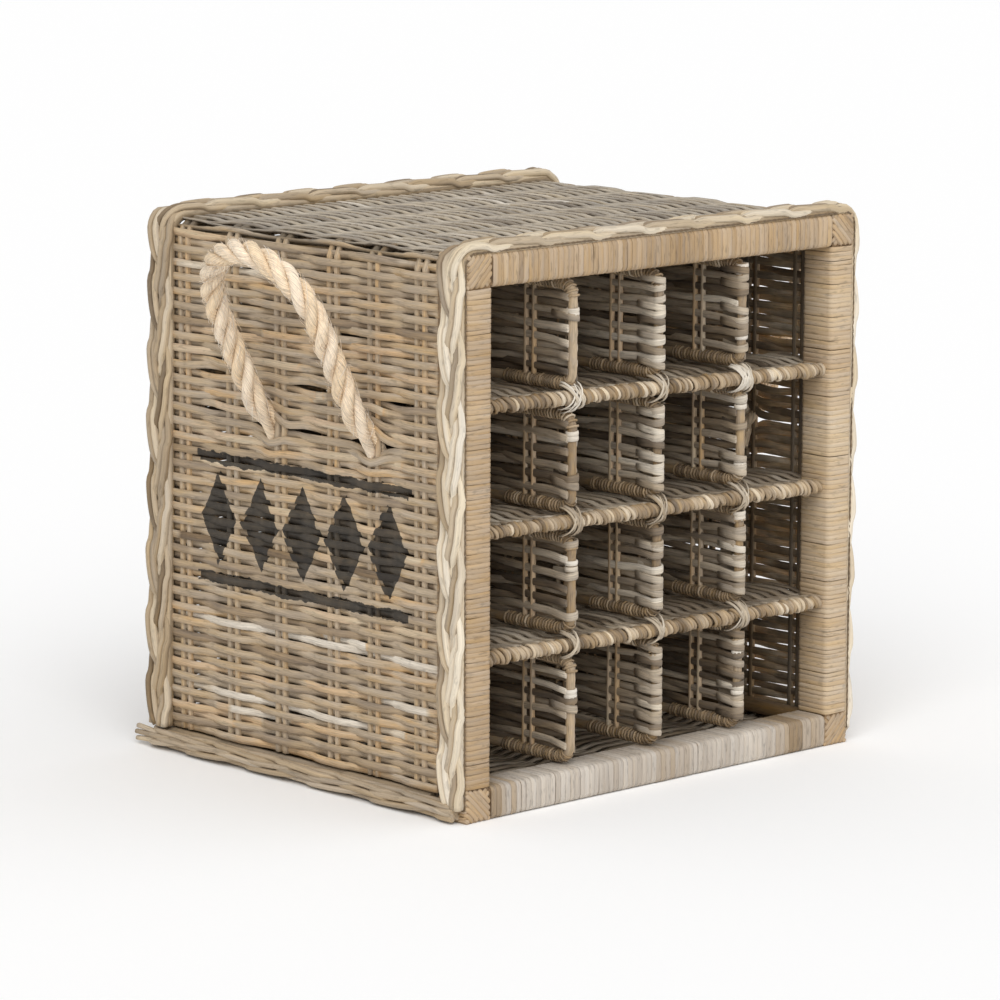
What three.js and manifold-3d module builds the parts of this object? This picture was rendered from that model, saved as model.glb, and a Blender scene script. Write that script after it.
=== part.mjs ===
// A wicker wine rack: a woven box with an open front, sixteen bottle cells and two rope handles.
// Millimetres, Z up, the open front towards -Y, origin under the middle of the whole rack.
import * as THREE from "three";
import { mergeVertices } from "three/addons/utils/BufferGeometryUtils.js";
import Module from "manifold-3d";

const wasm = await Module();
wasm.setup();

// Front frame of four battens bound in flat cane.
const FRAME_WIDTH = 437;
const FRAME_HEIGHT = 448;
const BAR_FACE = 27;
const BAR_DEPTH = 34;
const BINDING_THICKNESS = 1.6;

// Woven box behind the frame, and the round poles that carry it.
const BODY_DEPTH = 380; // front face of the frame to back face of the rack
const WEAVE_THICKNESS = 10;
const WEAVER_PITCH = 5.95; // from one row of weave to the next
const WEAVE_RELIEF = 5; // a row behind a pair of stakes lies this far below one in front of it
const STAKE_SETBACKS = [57, 112, 160, 224, 284, 344]; // pairs of stakes behind the face of the frame
const BACK_STAKE_PAIRS = 6;
const BACK_STAKE_SPACING = 66;
const POLE_DIAMETER = 14;

// Plaits round the edges.
const BRAID_WIDTH = 26;
const BRAID_THICKNESS = 8;
const BRAID_SETBACK = 4; // front plait behind the face of the frame
const BRAID_CORNER = 18;
const BASE_BRAID_HEIGHT = 20;
const BASE_BRAID_OUTREACH = 12; // foot plait beyond the outside of the walls

// Bottle cells.
const ROWS = 4;
const COLUMNS = 4;
const EDGE_SETBACK = 5; // shelf rods and dividers behind the face of the frame
const SHELF_ROD_DIAMETER = 12;
const SHELF_DECK_THICKNESS = 10;
const DIVIDER_THICKNESS = 12;
const DIVIDER_CORNER = 14;
const LASHING_WIDTH = 19;
const LASHING_HEIGHT = 25;
const LASHING_THICKNESS = 3;
const LASHING_CORNER = 7;

// Rope handles.
const ROPE_DIAMETER = 20;
const HANDLE_SPACING = 121; // between the two legs
const HANDLE_HEIGHT = 158; // swing line to the middle of the rope at the top
const HANDLE_LEAN = 26; // degrees out from upright
const HANDLE_SETBACK = 174; // face of the frame to the middle of the handle
const HANDLE_ABOVE_SHELF = 76; // left swing line above the middle shelf
const RIGHT_HANDLE_DROP = 24; // right swing line below the left one
const TAIL_DIAMETER = 16; // inner end of the rope, drawn tight so that it keeps clear of the cells
const TAIL_CLEARANCE = 8; // inner end of the rope above the middle shelf
const TAIL_TURN = 16; // below the swing line, where the inner end heads straight down

const FIT_GAP = 0.3; // between pieces that touch
const OVERCUT = 1; // a shape that cuts another reaches this far past it

// Smoothness of round forms.
const ROPE_SIDES = 10;
const BALL_SIDES = 12;
const LOOP_STEPS = 28;
const TAIL_STEPS = 7;
const POLE_SIDES = 16;
const CORNER_STEPS = 5;
const WELD_DISTANCE = 1e-3; // corners of neighbouring faces closer than this are one

// Places that follow from the sizes.
const halfWidth = FRAME_WIDTH / 2;
const overallDepth = BODY_DEPTH + BASE_BRAID_OUTREACH;
const frontY = -overallDepth / 2;
const backY = frontY + BODY_DEPTH;
const barBackY = frontY + BAR_DEPTH;
const bindingInset = BINDING_THICKNESS + FIT_GAP; // face of a bar to its core
const openingHalf = halfWidth - BAR_FACE;
const openingTop = FRAME_HEIGHT - BAR_FACE;
const wallInnerX = halfWidth - WEAVE_THICKNESS;
const roofInnerZ = FRAME_HEIGHT - WEAVE_THICKNESS;
const backInnerY = backY - WEAVE_THICKNESS;
const poleRadius = POLE_DIAMETER / 2;
const poleX = wallInnerX - FIT_GAP - poleRadius;
const poleY = backInnerY - FIT_GAP - poleRadius;
const topRailZ = roofInnerZ - FIT_GAP - poleRadius;
const bottomRailZ = BAR_FACE - poleRadius;
const floorTopZ = BAR_FACE - POLE_DIAMETER - FIT_GAP;
const bendRadius = WEAVE_THICKNESS + FIT_GAP + poleRadius; // outside of the sleeve round a top rail
const wallFootZ = BASE_BRAID_HEIGHT + FIT_GAP;
const rowPitch = (openingTop - BAR_FACE) / ROWS;
const columnPitch = (2 * openingHalf) / COLUMNS;
const shelfRodRadius = SHELF_ROD_DIAMETER / 2;
const shelfRodY = frontY + EDGE_SETBACK + shelfRodRadius;
const ropeRadius = ROPE_DIAMETER / 2;
const swingX = halfWidth + FIT_GAP + ropeRadius;
const middleShelfZ = BAR_FACE + (ROWS / 2) * rowPitch;
const leftSwingZ = middleShelfZ + HANDLE_ABOVE_SHELF;
const handleY = frontY + HANDLE_SETBACK;
const tailRadius = TAIL_DIAMETER / 2;
const tailX = wallInnerX - FIT_GAP - tailRadius;
const tailEndZ = middleShelfZ + SHELF_DECK_THICKNESS / 2 + TAIL_CLEARANCE;

// Finishes.
const BOUND_CANE = { color: 0xc9ab80, roughness: 0.55 };
const BATTEN = { color: 0xb89468, roughness: 0.7 };
const POLE = { color: 0xa98a60, roughness: 0.6 };
const WICKER = { color: 0xa48d69, roughness: 0.75 };
const PLAIT = { color: 0xbfae8c, roughness: 0.7 };
const RIM = { color: 0xc2a274, roughness: 0.65 };
const TIE = { color: 0xc9b88f, roughness: 0.6 };
const ROPE = { color: 0xd2bd86, roughness: 0.85 };

const rack = new THREE.Group();

function addPiece(name, geometry, finish) {
  const piece = new THREE.Mesh(geometry, new THREE.MeshStandardMaterial({ ...finish, metalness: 0 }));
  piece.name = name;
  rack.add(piece);
}

// A block between two values on each axis.
function block([x0, x1], [y0, y1], [z0, z1]) {
  const geometry = new THREE.BoxGeometry(x1 - x0, y1 - y0, z1 - z0);
  return geometry.translate((x0 + x1) / 2, (y0 + y1) / 2, (z0 + z1) / 2);
}

// A round pole between two points that lie along one axis.
function pole(from, to, diameter) {
  const run = new THREE.Vector3().subVectors(to, from);
  const geometry = new THREE.CylinderGeometry(diameter / 2, diameter / 2, run.length(), POLE_SIDES);
  const turn = new THREE.Quaternion().setFromUnitVectors(new THREE.Vector3(0, 1, 0), run.normalize());
  const middle = new THREE.Vector3().addVectors(from, to).divideScalar(2);
  return geometry.applyQuaternion(turn).translate(middle.x, middle.y, middle.z);
}

// An outline drawn on the front (x across, z up), carried from y0 back to y1.
function carriedBack(shape, y0, y1) {
  const geometry = new THREE.ExtrudeGeometry(shape, {
    depth: y1 - y0,
    bevelEnabled: false,
    curveSegments: CORNER_STEPS,
  });
  return geometry.rotateX(Math.PI / 2).translate(0, y1, 0);
}

// An outline drawn on the ground (x across, y back), carried from z0 up to z1.
function carriedUp(shape, z0, z1) {
  const geometry = new THREE.ExtrudeGeometry(shape, {
    depth: z1 - z0,
    bevelEnabled: false,
    curveSegments: CORNER_STEPS,
  });
  return geometry.translate(0, 0, z0);
}

function toSolid(geometry) {
  const bare = new THREE.BufferGeometry();
  bare.setAttribute("position", geometry.getAttribute("position").clone());
  bare.setIndex(geometry.index);
  const merged = mergeVertices(bare, WELD_DISTANCE);
  return new wasm.Manifold(
    new wasm.Mesh({
      numProp: 3,
      vertProperties: merged.getAttribute("position").array,
      triVerts: new Uint32Array(merged.index.array),
    }),
  );
}

function toGeometry(solid) {
  const mesh = solid.getMesh();
  const geometry = new THREE.BufferGeometry();
  geometry.setAttribute("position", new THREE.BufferAttribute(mesh.vertProperties, 3));
  geometry.setIndex(new THREE.BufferAttribute(mesh.triVerts, 1));
  const faceted = geometry.toNonIndexed();
  faceted.computeVertexNormals();
  return faceted;
}

// Front frame. The cross bars stop against the cores of the upright bars.
const barY = [frontY + bindingInset, barBackY - bindingInset];
const upperBarZ = [openingTop + bindingInset, FRAME_HEIGHT - bindingInset];
const lowerBarZ = [bindingInset, BAR_FACE - bindingInset];
const postCoreX = [halfWidth - BAR_FACE + bindingInset, halfWidth - bindingInset];
const railCoreEnd = postCoreX[0] - FIT_GAP;

function sided(side, [x0, x1]) {
  return side < 0 ? [-x1, -x0] : [x0, x1];
}

function widened([a, b], by) {
  return [a - by, b + by];
}

// A rectangular sleeve of cane with a clear inside, drawn round the middle of its bar.
function sleeveOutline(width, depth) {
  const outline = new THREE.Shape();
  outline.moveTo(-width / 2, -depth / 2);
  outline.lineTo(width / 2, -depth / 2);
  outline.lineTo(width / 2, depth / 2);
  outline.lineTo(-width / 2, depth / 2);
  const inside = new THREE.Path();
  const innerWidth = width / 2 - BINDING_THICKNESS;
  const innerDepth = depth / 2 - BINDING_THICKNESS;
  inside.moveTo(-innerWidth, -innerDepth);
  inside.lineTo(-innerWidth, innerDepth);
  inside.lineTo(innerWidth, innerDepth);
  inside.lineTo(innerWidth, -innerDepth);
  outline.holes.push(inside);
  return outline;
}

const barMiddleY = frontY + BAR_DEPTH / 2;
const sides = [
  { name: "left", sign: -1, swingZ: leftSwingZ },
  { name: "right", sign: 1, swingZ: leftSwingZ - RIGHT_HANDLE_DROP },
];
for (const { name, sign } of sides) {
  const coreX = sided(sign, postCoreX);
  const coreZ = [bindingInset, FRAME_HEIGHT - bindingInset];
  addPiece(`front_${name}_post_core`, block(coreX, barY, coreZ), BATTEN);
  const binding = carriedUp(sleeveOutline(BAR_FACE, BAR_DEPTH), BAR_FACE + FIT_GAP, openingTop - FIT_GAP);
  binding.translate(sign * (halfWidth - BAR_FACE / 2), barMiddleY, 0);
  addPiece(`front_${name}_post_binding`, binding, BOUND_CANE);
}

const levels = [
  { name: "top", coreZ: upperBarZ, cornerZ: [openingTop, FRAME_HEIGHT] },
  { name: "bottom", coreZ: lowerBarZ, cornerZ: [0, BAR_FACE] },
];
for (const level of levels) {
  addPiece(`front_${level.name}_rail_core`, block([-railCoreEnd, railCoreEnd], barY, level.coreZ), BATTEN);
  const reach = openingHalf - FIT_GAP;
  const binding = carriedUp(sleeveOutline(BAR_FACE, BAR_DEPTH), -reach, reach);
  binding.rotateY(Math.PI / 2);
  binding.translate(0, barMiddleY, (level.cornerZ[0] + level.cornerZ[1]) / 2);
  addPiece(`front_${level.name}_rail_binding`, binding, BOUND_CANE);

  // A corner binding covers the end of an upright bar and lets both cores through.
  for (const { name, sign } of sides) {
    const whole = toSolid(block(sided(sign, [openingHalf, halfWidth]), [frontY, barBackY], level.cornerZ));
    const roomY = widened(barY, FIT_GAP);
    const postRoom = block(
      sided(sign, widened(postCoreX, FIT_GAP)),
      roomY,
      [BINDING_THICKNESS, FRAME_HEIGHT - BINDING_THICKNESS],
    );
    const railRoom = block(
      sided(sign, [openingHalf - BAR_FACE, postCoreX[0]]),
      roomY,
      widened(level.coreZ, FIT_GAP),
    );
    const corner = whole.subtract(toSolid(postRoom)).subtract(toSolid(railRoom));
    addPiece(`front_${level.name}_${name}_corner_binding`, toGeometry(corner), BOUND_CANE);
  }
}

// Round poles: side rails from the front frame to the back, rear posts between them, rear rails across.
const railFrontY = barBackY + FIT_GAP;
const railBackY = backInnerY - FIT_GAP;
for (const { name, sign } of sides) {
  const x = sign * poleX;
  for (const [level, z] of [["top", topRailZ], ["bottom", bottomRailZ]]) {
    const from = new THREE.Vector3(x, railFrontY, z);
    const to = new THREE.Vector3(x, railBackY, z);
    addPiece(`${name}_${level}_rail`, pole(from, to, POLE_DIAMETER), POLE);
  }
  const foot = new THREE.Vector3(x, poleY, bottomRailZ + poleRadius + FIT_GAP);
  const head = new THREE.Vector3(x, poleY, topRailZ - poleRadius - FIT_GAP);
  addPiece(`rear_${name}_post`, pole(foot, head, POLE_DIAMETER), POLE);
}
for (const [level, z] of [["top", topRailZ], ["bottom", bottomRailZ]]) {
  const reach = poleX - poleRadius - FIT_GAP;
  const from = new THREE.Vector3(-reach, poleY, z);
  const to = new THREE.Vector3(reach, poleY, z);
  addPiece(`rear_${level}_rail`, pole(from, to, POLE_DIAMETER), POLE);
}

// The line of an arch: up the left, over the top and down the right, with rounded corners.
function archLine(path, half, top, foot, radius) {
  path.lineTo(-half, top - radius);
  path.absarc(-half + radius, top - radius, radius, Math.PI, Math.PI / 2, true);
  path.lineTo(half - radius, top);
  path.absarc(half - radius, top - radius, radius, Math.PI / 2, 0, true);
  path.lineTo(half, foot);
}

function archLineBack(path, half, top, foot, radius) {
  path.lineTo(half, top - radius);
  path.absarc(half - radius, top - radius, radius, 0, Math.PI / 2, false);
  path.lineTo(-half + radius, top);
  path.absarc(-half + radius, top - radius, radius, Math.PI / 2, Math.PI, false);
  path.lineTo(-half, foot);
}

// A band in the form of an arch, between an outer and an inner line.
function archBand(outer, inner, foot) {
  const shape = new THREE.Shape();
  shape.moveTo(-outer.half, foot);
  archLine(shape, outer.half, outer.top, foot, outer.radius);
  shape.lineTo(inner.half, foot);
  if (inner.radius > 0) {
    archLineBack(shape, inner.half, inner.top, foot, inner.radius);
  } else {
    shape.lineTo(inner.half, inner.top);
    shape.lineTo(-inner.half, inner.top);
    shape.lineTo(-inner.half, foot);
  }
  return shape;
}

// Rope: a loop that swings on the outside, and two inner ends that go through the wall.
function ropeOutline(radius) {
  const corners = [];
  for (let i = 0; i < ROPE_SIDES; i++) {
    const angle = (2 * Math.PI * i) / ROPE_SIDES;
    corners.push(new THREE.Vector2(radius * Math.cos(angle), radius * Math.sin(angle)));
  }
  return new THREE.Shape(corners);
}

function ropeAlong(path, steps, radius) {
  return new THREE.ExtrudeGeometry(ropeOutline(radius), { extrudePath: path, steps, bevelEnabled: false });
}

class HandleLine extends THREE.Curve {
  constructor(side) {
    super();
    this.side = side;
    this.leg = HANDLE_HEIGHT - HANDLE_SPACING / 2;
    this.bend = (Math.PI * HANDLE_SPACING) / 2;
  }

  // Along the rope: up the front leg, round the bend and down the rear leg.
  getPoint(t) {
    const along = t * (2 * this.leg + this.bend);
    const half = HANDLE_SPACING / 2;
    let across = -half;
    let up = along;
    if (along > this.leg + this.bend) {
      across = half;
      up = 2 * this.leg + this.bend - along;
    } else if (along > this.leg) {
      const angle = Math.PI * (1 - (along - this.leg) / this.bend);
      across = half * Math.cos(angle);
      up = this.leg + half * Math.sin(angle);
    }
    const lean = THREE.MathUtils.degToRad(HANDLE_LEAN);
    return new THREE.Vector3(
      this.side.sign * (swingX + up * Math.sin(lean)),
      handleY + across,
      this.side.swingZ + up * Math.cos(lean),
    );
  }
}

// A loop ends in a ball on the swing line, so it clears the wall at every angle.
function ropeLoop(side) {
  let loop = toSolid(ropeAlong(new HandleLine(side), LOOP_STEPS, ropeRadius));
  for (const step of [-1, 1]) {
    const ball = new THREE.SphereGeometry(ropeRadius, BALL_SIDES, BALL_SIDES / 2);
    ball.translate(side.sign * swingX, handleY + (step * HANDLE_SPACING) / 2, side.swingZ);
    loop = loop.add(toSolid(ball));
  }
  return toGeometry(loop);
}

function tailLine({ sign, swingZ }, y) {
  return new THREE.QuadraticBezierCurve3(
    new THREE.Vector3(sign * swingX, y, swingZ),
    new THREE.Vector3(sign * tailX, y, swingZ - TAIL_TURN),
    new THREE.Vector3(sign * tailX, y, tailEndZ),
  );
}

// Middles of the rows of weave along a run.
function rowMiddles(run) {
  const count = Math.round(run / WEAVER_PITCH);
  const step = (run - WEAVER_PITCH) / (count - 1);
  return Array.from({ length: count }, (_, row) => WEAVER_PITCH / 2 + row * step);
}

// A woven wall: each row passes in front of one pair of stakes and behind the next, and rows take turns.
// The wall is plain along its edges. place() gives the spot where a row crosses a pair, at a height.
function wovenWall(rowPlaces, stakePlaces, place) {
  const rows = rowPlaces.length - 1;
  const stakes = stakePlaces.length - 1;
  const wall = new THREE.BoxGeometry(rows, stakes, 1, rows, stakes, 1);
  const corners = wall.getAttribute("position");
  const behind = [];
  for (let i = 0; i < corners.count; i++) {
    const row = Math.round(corners.getX(i) + rows / 2);
    const stake = Math.round(corners.getY(i) + stakes / 2);
    const onEdge = row === 0 || row === rows || stake === 0 || stake === stakes;
    behind[i] = (row + stake) % 2 === 1;
    const outside = WEAVE_THICKNESS - (behind[i] && !onEdge ? WEAVE_RELIEF : 0);
    const height = corners.getZ(i) < 0 ? -OVERCUT : outside;
    const spot = place(rowPlaces[row], stakePlaces[stake], height);
    corners.setXYZ(i, spot.x, spot.y, spot.z);
  }
  // Faces fold between the crossings behind, so a row stands up by itself where it is in front.
  const faces = wall.index.array;
  for (let i = 0; i < faces.length; i += 6) {
    const [a, b, d, , c] = faces.subarray(i, i + 5);
    if (behind[a]) {
      faces.set([a, b, c, a, c, d], i);
    }
  }
  return toSolid(wall);
}

// The sleeve: up the left wall, over the roof and down the right wall, along the middle of the weave.
const midRadius = bendRadius - WEAVE_THICKNESS / 2;
const wallRun = FRAME_HEIGHT - bendRadius - wallFootZ;
const bendRun = (midRadius * Math.PI) / 2;
const sleeveRun = 2 * (wallRun + bendRun + halfWidth - bendRadius);

function sleeveSpot(along, y, height) {
  const onRight = along > sleeveRun / 2;
  const run = onRight ? sleeveRun - along : along;
  const reach = midRadius + height - WEAVE_THICKNESS / 2;
  const turn = THREE.MathUtils.clamp((run - wallRun) / midRadius, 0, Math.PI / 2);
  const overRoof = Math.max(0, run - wallRun - bendRun);
  const x = halfWidth - bendRadius - overRoof + reach * Math.cos(turn);
  const z = wallFootZ + Math.min(run, wallRun) + reach * Math.sin(turn);
  return new THREE.Vector3(onRight ? x : -x, y, z);
}

const sleeveStakes = STAKE_SETBACKS.map((setback) => frontY + setback);
let sleeve = wovenWall(
  [0, ...rowMiddles(sleeveRun), sleeveRun],
  [railFrontY, ...sleeveStakes, backY],
  sleeveSpot,
);
const hollowFootZ = wallFootZ - OVERCUT;
const hollow = new THREE.Shape();
hollow.moveTo(-wallInnerX, hollowFootZ);
archLine(hollow, wallInnerX, roofInnerZ, hollowFootZ, bendRadius - WEAVE_THICKNESS);
sleeve = sleeve.subtract(toSolid(carriedBack(hollow, railFrontY - OVERCUT, backY + OVERCUT)));
const insideOfWalls = toSolid(
  block([-halfWidth, halfWidth], [frontY, backY], [wallFootZ, FRAME_HEIGHT]),
);
for (const side of sides) {
  addPiece(`${side.name}_rope_loop`, ropeLoop(side), ROPE);
  for (const [place, step] of [["front", -1], ["rear", 1]]) {
    const line = tailLine(side, handleY + (step * HANDLE_SPACING) / 2);
    sleeve = sleeve.subtract(toSolid(ropeAlong(line, TAIL_STEPS, tailRadius + FIT_GAP)));
    const tail = toSolid(ropeAlong(line, TAIL_STEPS, tailRadius)).intersect(insideOfWalls);
    addPiece(`${side.name}_rope_tail_${place}`, toGeometry(tail), ROPE);
  }
}
addPiece("body_weave", toGeometry(sleeve), WICKER);

// Back and floor. The back fits inside the sleeve, and the floor inside the foot plait.
const backHalf = wallInnerX - FIT_GAP;
const backPanel = new THREE.Shape();
backPanel.moveTo(-backHalf, wallFootZ);
archLine(backPanel, backHalf, roofInnerZ - FIT_GAP, wallFootZ, poleRadius);
const backRows = rowMiddles(roofInnerZ - FIT_GAP - wallFootZ).map((along) => wallFootZ + along);
const backStakes = Array.from(
  { length: BACK_STAKE_PAIRS },
  (_, pair) => (pair - (BACK_STAKE_PAIRS - 1) / 2) * BACK_STAKE_SPACING,
);
const backWall = wovenWall(
  [wallFootZ - OVERCUT, ...backRows, roofInnerZ + OVERCUT],
  [-backHalf - OVERCUT, ...backStakes, backHalf + OVERCUT],
  (z, x, height) => new THREE.Vector3(x, backInnerY + height, z),
).intersect(toSolid(carriedBack(backPanel, backInnerY, backY + OVERCUT)));
addPiece("back_weave", toGeometry(backWall), WICKER);
addPiece(
  "floor_weave",
  block([-backHalf, backHalf], [railFrontY, railBackY], [floorTopZ - WEAVE_THICKNESS, floorTopZ]),
  WICKER,
);

// Plaits.
const frontBraidInner = { half: halfWidth + FIT_GAP, top: FRAME_HEIGHT + FIT_GAP, radius: 0 };
const backBraidInner = { ...frontBraidInner, radius: bendRadius + FIT_GAP };
function braidOuter(inner, radius) {
  return { half: inner.half + BRAID_THICKNESS, top: inner.top + BRAID_THICKNESS, radius };
}
const frontBraidY = frontY + BRAID_SETBACK;
addPiece(
  "front_braid",
  carriedBack(
    archBand(braidOuter(frontBraidInner, BRAID_CORNER), frontBraidInner, 0),
    frontBraidY,
    frontBraidY + BRAID_WIDTH,
  ),
  PLAIT,
);
const backBraidOuter = braidOuter(backBraidInner, backBraidInner.radius + BRAID_THICKNESS);
addPiece(
  "back_braid",
  carriedBack(archBand(backBraidOuter, backBraidInner, wallFootZ), backY - BRAID_WIDTH, backY),
  PLAIT,
);
const footOuter = {
  half: halfWidth + BASE_BRAID_OUTREACH,
  top: backY + BASE_BRAID_OUTREACH,
  radius: BRAID_CORNER,
};
const footInner = { half: wallInnerX, top: backInnerY, radius: 0 };
addPiece("base_braid", carriedUp(archBand(footOuter, footInner, railFrontY), 0, BASE_BRAID_HEIGHT), PLAIT);

// Shelves: a bound rod along the front, and a deck notched round the frame and the rear posts.
const shelfFrontHalf = openingHalf - FIT_GAP;
const postFrontY = poleY - poleRadius - FIT_GAP;
const postSideX = poleX - poleRadius - FIT_GAP;
const deckLine = [
  [shelfFrontHalf, shelfRodY + shelfRodRadius + FIT_GAP],
  [shelfFrontHalf, railFrontY],
  [backHalf, railFrontY],
  [backHalf, postFrontY],
  [postSideX, postFrontY],
  [postSideX, railBackY],
];
const deckRight = deckLine.map(([x, y]) => new THREE.Vector2(x, y));
const deckLeft = deckLine.toReversed().map(([x, y]) => new THREE.Vector2(-x, y));
const deckOutline = new THREE.Shape([...deckRight, ...deckLeft]);

// A divider seen from the side (y back, z up), rounded at all four corners.
function dividerPanel(z0, z1) {
  const y0 = frontY + EDGE_SETBACK;
  const y1 = railBackY;
  const r = DIVIDER_CORNER;
  const shape = new THREE.Shape();
  shape.moveTo(y0 + r, z0);
  shape.lineTo(y1 - r, z0);
  shape.absarc(y1 - r, z0 + r, r, -Math.PI / 2, 0, false);
  shape.lineTo(y1, z1 - r);
  shape.absarc(y1 - r, z1 - r, r, 0, Math.PI / 2, false);
  shape.lineTo(y0 + r, z1);
  shape.absarc(y0 + r, z1 - r, r, Math.PI / 2, Math.PI, false);
  shape.lineTo(y0, z0 + r);
  shape.absarc(y0 + r, z0 + r, r, Math.PI, 1.5 * Math.PI, false);
  const panel = carriedUp(shape, -DIVIDER_THICKNESS / 2, DIVIDER_THICKNESS / 2);
  return panel.rotateX(Math.PI / 2).rotateZ(Math.PI / 2);
}

// A lashing seen from the front, a flat pad over a crossing.
function lashingPad(x, z) {
  const w = LASHING_WIDTH / 2;
  const h = LASHING_HEIGHT / 2;
  const r = LASHING_CORNER;
  const shape = new THREE.Shape();
  shape.moveTo(x - w + r, z - h);
  shape.absarc(x + w - r, z - h + r, r, -Math.PI / 2, 0, false);
  shape.absarc(x + w - r, z + h - r, r, 0, Math.PI / 2, false);
  shape.absarc(x - w + r, z + h - r, r, Math.PI / 2, Math.PI, false);
  shape.absarc(x - w + r, z - h + r, r, Math.PI, 1.5 * Math.PI, false);
  const padBackY = frontY + EDGE_SETBACK - FIT_GAP;
  return carriedBack(shape, padBackY - LASHING_THICKNESS, padBackY);
}

for (let row = 1; row <= ROWS; row++) {
  const ceilingZ = openingTop - (row - 1) * rowPitch;
  const shelfZ = openingTop - row * rowPitch;
  const underShelf = shelfRodRadius + FIT_GAP;
  const topZ = ceilingZ - (row === 1 ? FIT_GAP : underShelf);
  const bottomZ = shelfZ + (row === ROWS ? FIT_GAP : underShelf);
  if (row < ROWS) {
    const left = new THREE.Vector3(-shelfFrontHalf, shelfRodY, shelfZ);
    const right = new THREE.Vector3(shelfFrontHalf, shelfRodY, shelfZ);
    addPiece(`shelf_${row}_rod`, pole(left, right, SHELF_ROD_DIAMETER), RIM);
    const deckZ = widened([shelfZ, shelfZ], SHELF_DECK_THICKNESS / 2);
    const deck = carriedUp(deckOutline, ...deckZ);
    addPiece(`shelf_${row}_deck`, deck, WICKER);
  }
  for (let column = 1; column < COLUMNS; column++) {
    const x = (column - COLUMNS / 2) * columnPitch;
    addPiece(`divider_${row}_${column}`, dividerPanel(bottomZ, topZ).translate(x, 0, 0), WICKER);
    if (row < ROWS) {
      addPiece(`lashing_${row}_${column}`, lashingPad(x, shelfZ), TIE);
    }
  }
}

export default rack;
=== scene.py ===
# %% [markdown]
# # A wicker wine rack, cane by cane
# The rack is a woven box with an open front, sixteen bottle cells and a rope handle on each side.
# The solids of the frame give the places and the sizes. Here every solid is dressed as what it is
# on the real rack: a bundle of canes that were wound, woven, plaited or laid.

# %% Load the frame
import math
from collections import namedtuple

import bmesh
import bpy
import numpy as np
from mathutils import Matrix, Quaternion, Vector


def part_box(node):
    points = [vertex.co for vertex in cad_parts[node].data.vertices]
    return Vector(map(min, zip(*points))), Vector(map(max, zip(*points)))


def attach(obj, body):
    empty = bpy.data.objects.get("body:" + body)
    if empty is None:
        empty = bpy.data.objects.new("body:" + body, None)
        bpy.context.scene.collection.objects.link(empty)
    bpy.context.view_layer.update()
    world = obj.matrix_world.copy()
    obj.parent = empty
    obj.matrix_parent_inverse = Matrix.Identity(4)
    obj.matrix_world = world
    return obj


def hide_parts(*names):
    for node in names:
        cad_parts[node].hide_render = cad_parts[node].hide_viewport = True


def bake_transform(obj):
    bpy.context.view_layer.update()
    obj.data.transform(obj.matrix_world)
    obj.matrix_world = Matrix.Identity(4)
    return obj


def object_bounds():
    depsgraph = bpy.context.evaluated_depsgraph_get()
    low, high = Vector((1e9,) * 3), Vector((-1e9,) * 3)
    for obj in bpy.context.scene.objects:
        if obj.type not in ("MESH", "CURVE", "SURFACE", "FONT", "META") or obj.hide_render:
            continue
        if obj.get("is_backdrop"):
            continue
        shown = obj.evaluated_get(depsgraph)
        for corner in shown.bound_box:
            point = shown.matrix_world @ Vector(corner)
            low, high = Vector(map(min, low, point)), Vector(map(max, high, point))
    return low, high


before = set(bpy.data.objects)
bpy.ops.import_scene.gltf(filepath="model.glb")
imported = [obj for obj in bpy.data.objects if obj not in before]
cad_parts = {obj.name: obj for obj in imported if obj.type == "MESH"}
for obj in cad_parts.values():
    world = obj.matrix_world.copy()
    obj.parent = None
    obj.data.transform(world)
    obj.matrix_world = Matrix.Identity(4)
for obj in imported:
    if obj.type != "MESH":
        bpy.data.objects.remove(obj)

scene = bpy.context.scene
cad_box = [list(corner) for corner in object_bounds()]
MM = 0.001
QUARTER = math.pi / 2
FULL_TURN = 2 * np.pi
chance = np.random.default_rng(11)
Box = namedtuple("Box", "low high size middle")


def box_of(node):
    """Lowest and highest corner, size and middle of a solid, in millimetres."""
    low, high = (np.array(corner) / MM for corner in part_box(node))
    return Box(low, high, high - low, (low + high) / 2)


def shift(x, y, z):
    return Matrix.Translation((x * MM, y * MM, z * MM))


LAID_ALONG_X = Matrix.Rotation(QUARTER, 4, "Y")  # for what was wound upright
print("solids in the frame:", len(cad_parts))

# %% [markdown]
# ## Camera
# The picture was taken from the front left, a little above the rack, with a long lens. A camera
# is aimed most simply by a target, a distance and two angles, so those are the values named here.
# It was held a fraction of a degree off level, which the roll repeats.

# %% Camera
AZIMUTH = math.radians(-43.365)
ELEVATION = math.radians(9.95)
ROLL = math.radians(0.215)
DISTANCE = 4.102
TARGET = Vector((0.0012, 0.0, 0.2069))
LENS = 177.3
SENSOR = 36.0

to_camera = Vector((math.sin(AZIMUTH) * math.cos(ELEVATION),
                    -math.cos(AZIMUTH) * math.cos(ELEVATION), math.sin(ELEVATION)))
camera = bpy.data.objects.new("camera", bpy.data.cameras.new("camera"))
camera.data.lens = LENS
camera.data.sensor_width = SENSOR
camera.location = TARGET + DISTANCE * to_camera
aim = to_camera.to_track_quat("Z", "Y") @ Quaternion((0, 0, 1), ROLL)
camera.rotation_euler = aim.to_euler()
scene.collection.objects.link(camera)
scene.camera = camera
print("camera at", [round(value, 3) for value in camera.location])

# %% [markdown]
# ## Adding a node
# All the finishes below are small networks of shader nodes. One helper adds a node, sets its
# settings and fills its inputs. An input that is itself an output of another node becomes a link,
# and a node given as an input stands for its first output.

# %% Node helper and colours


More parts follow.
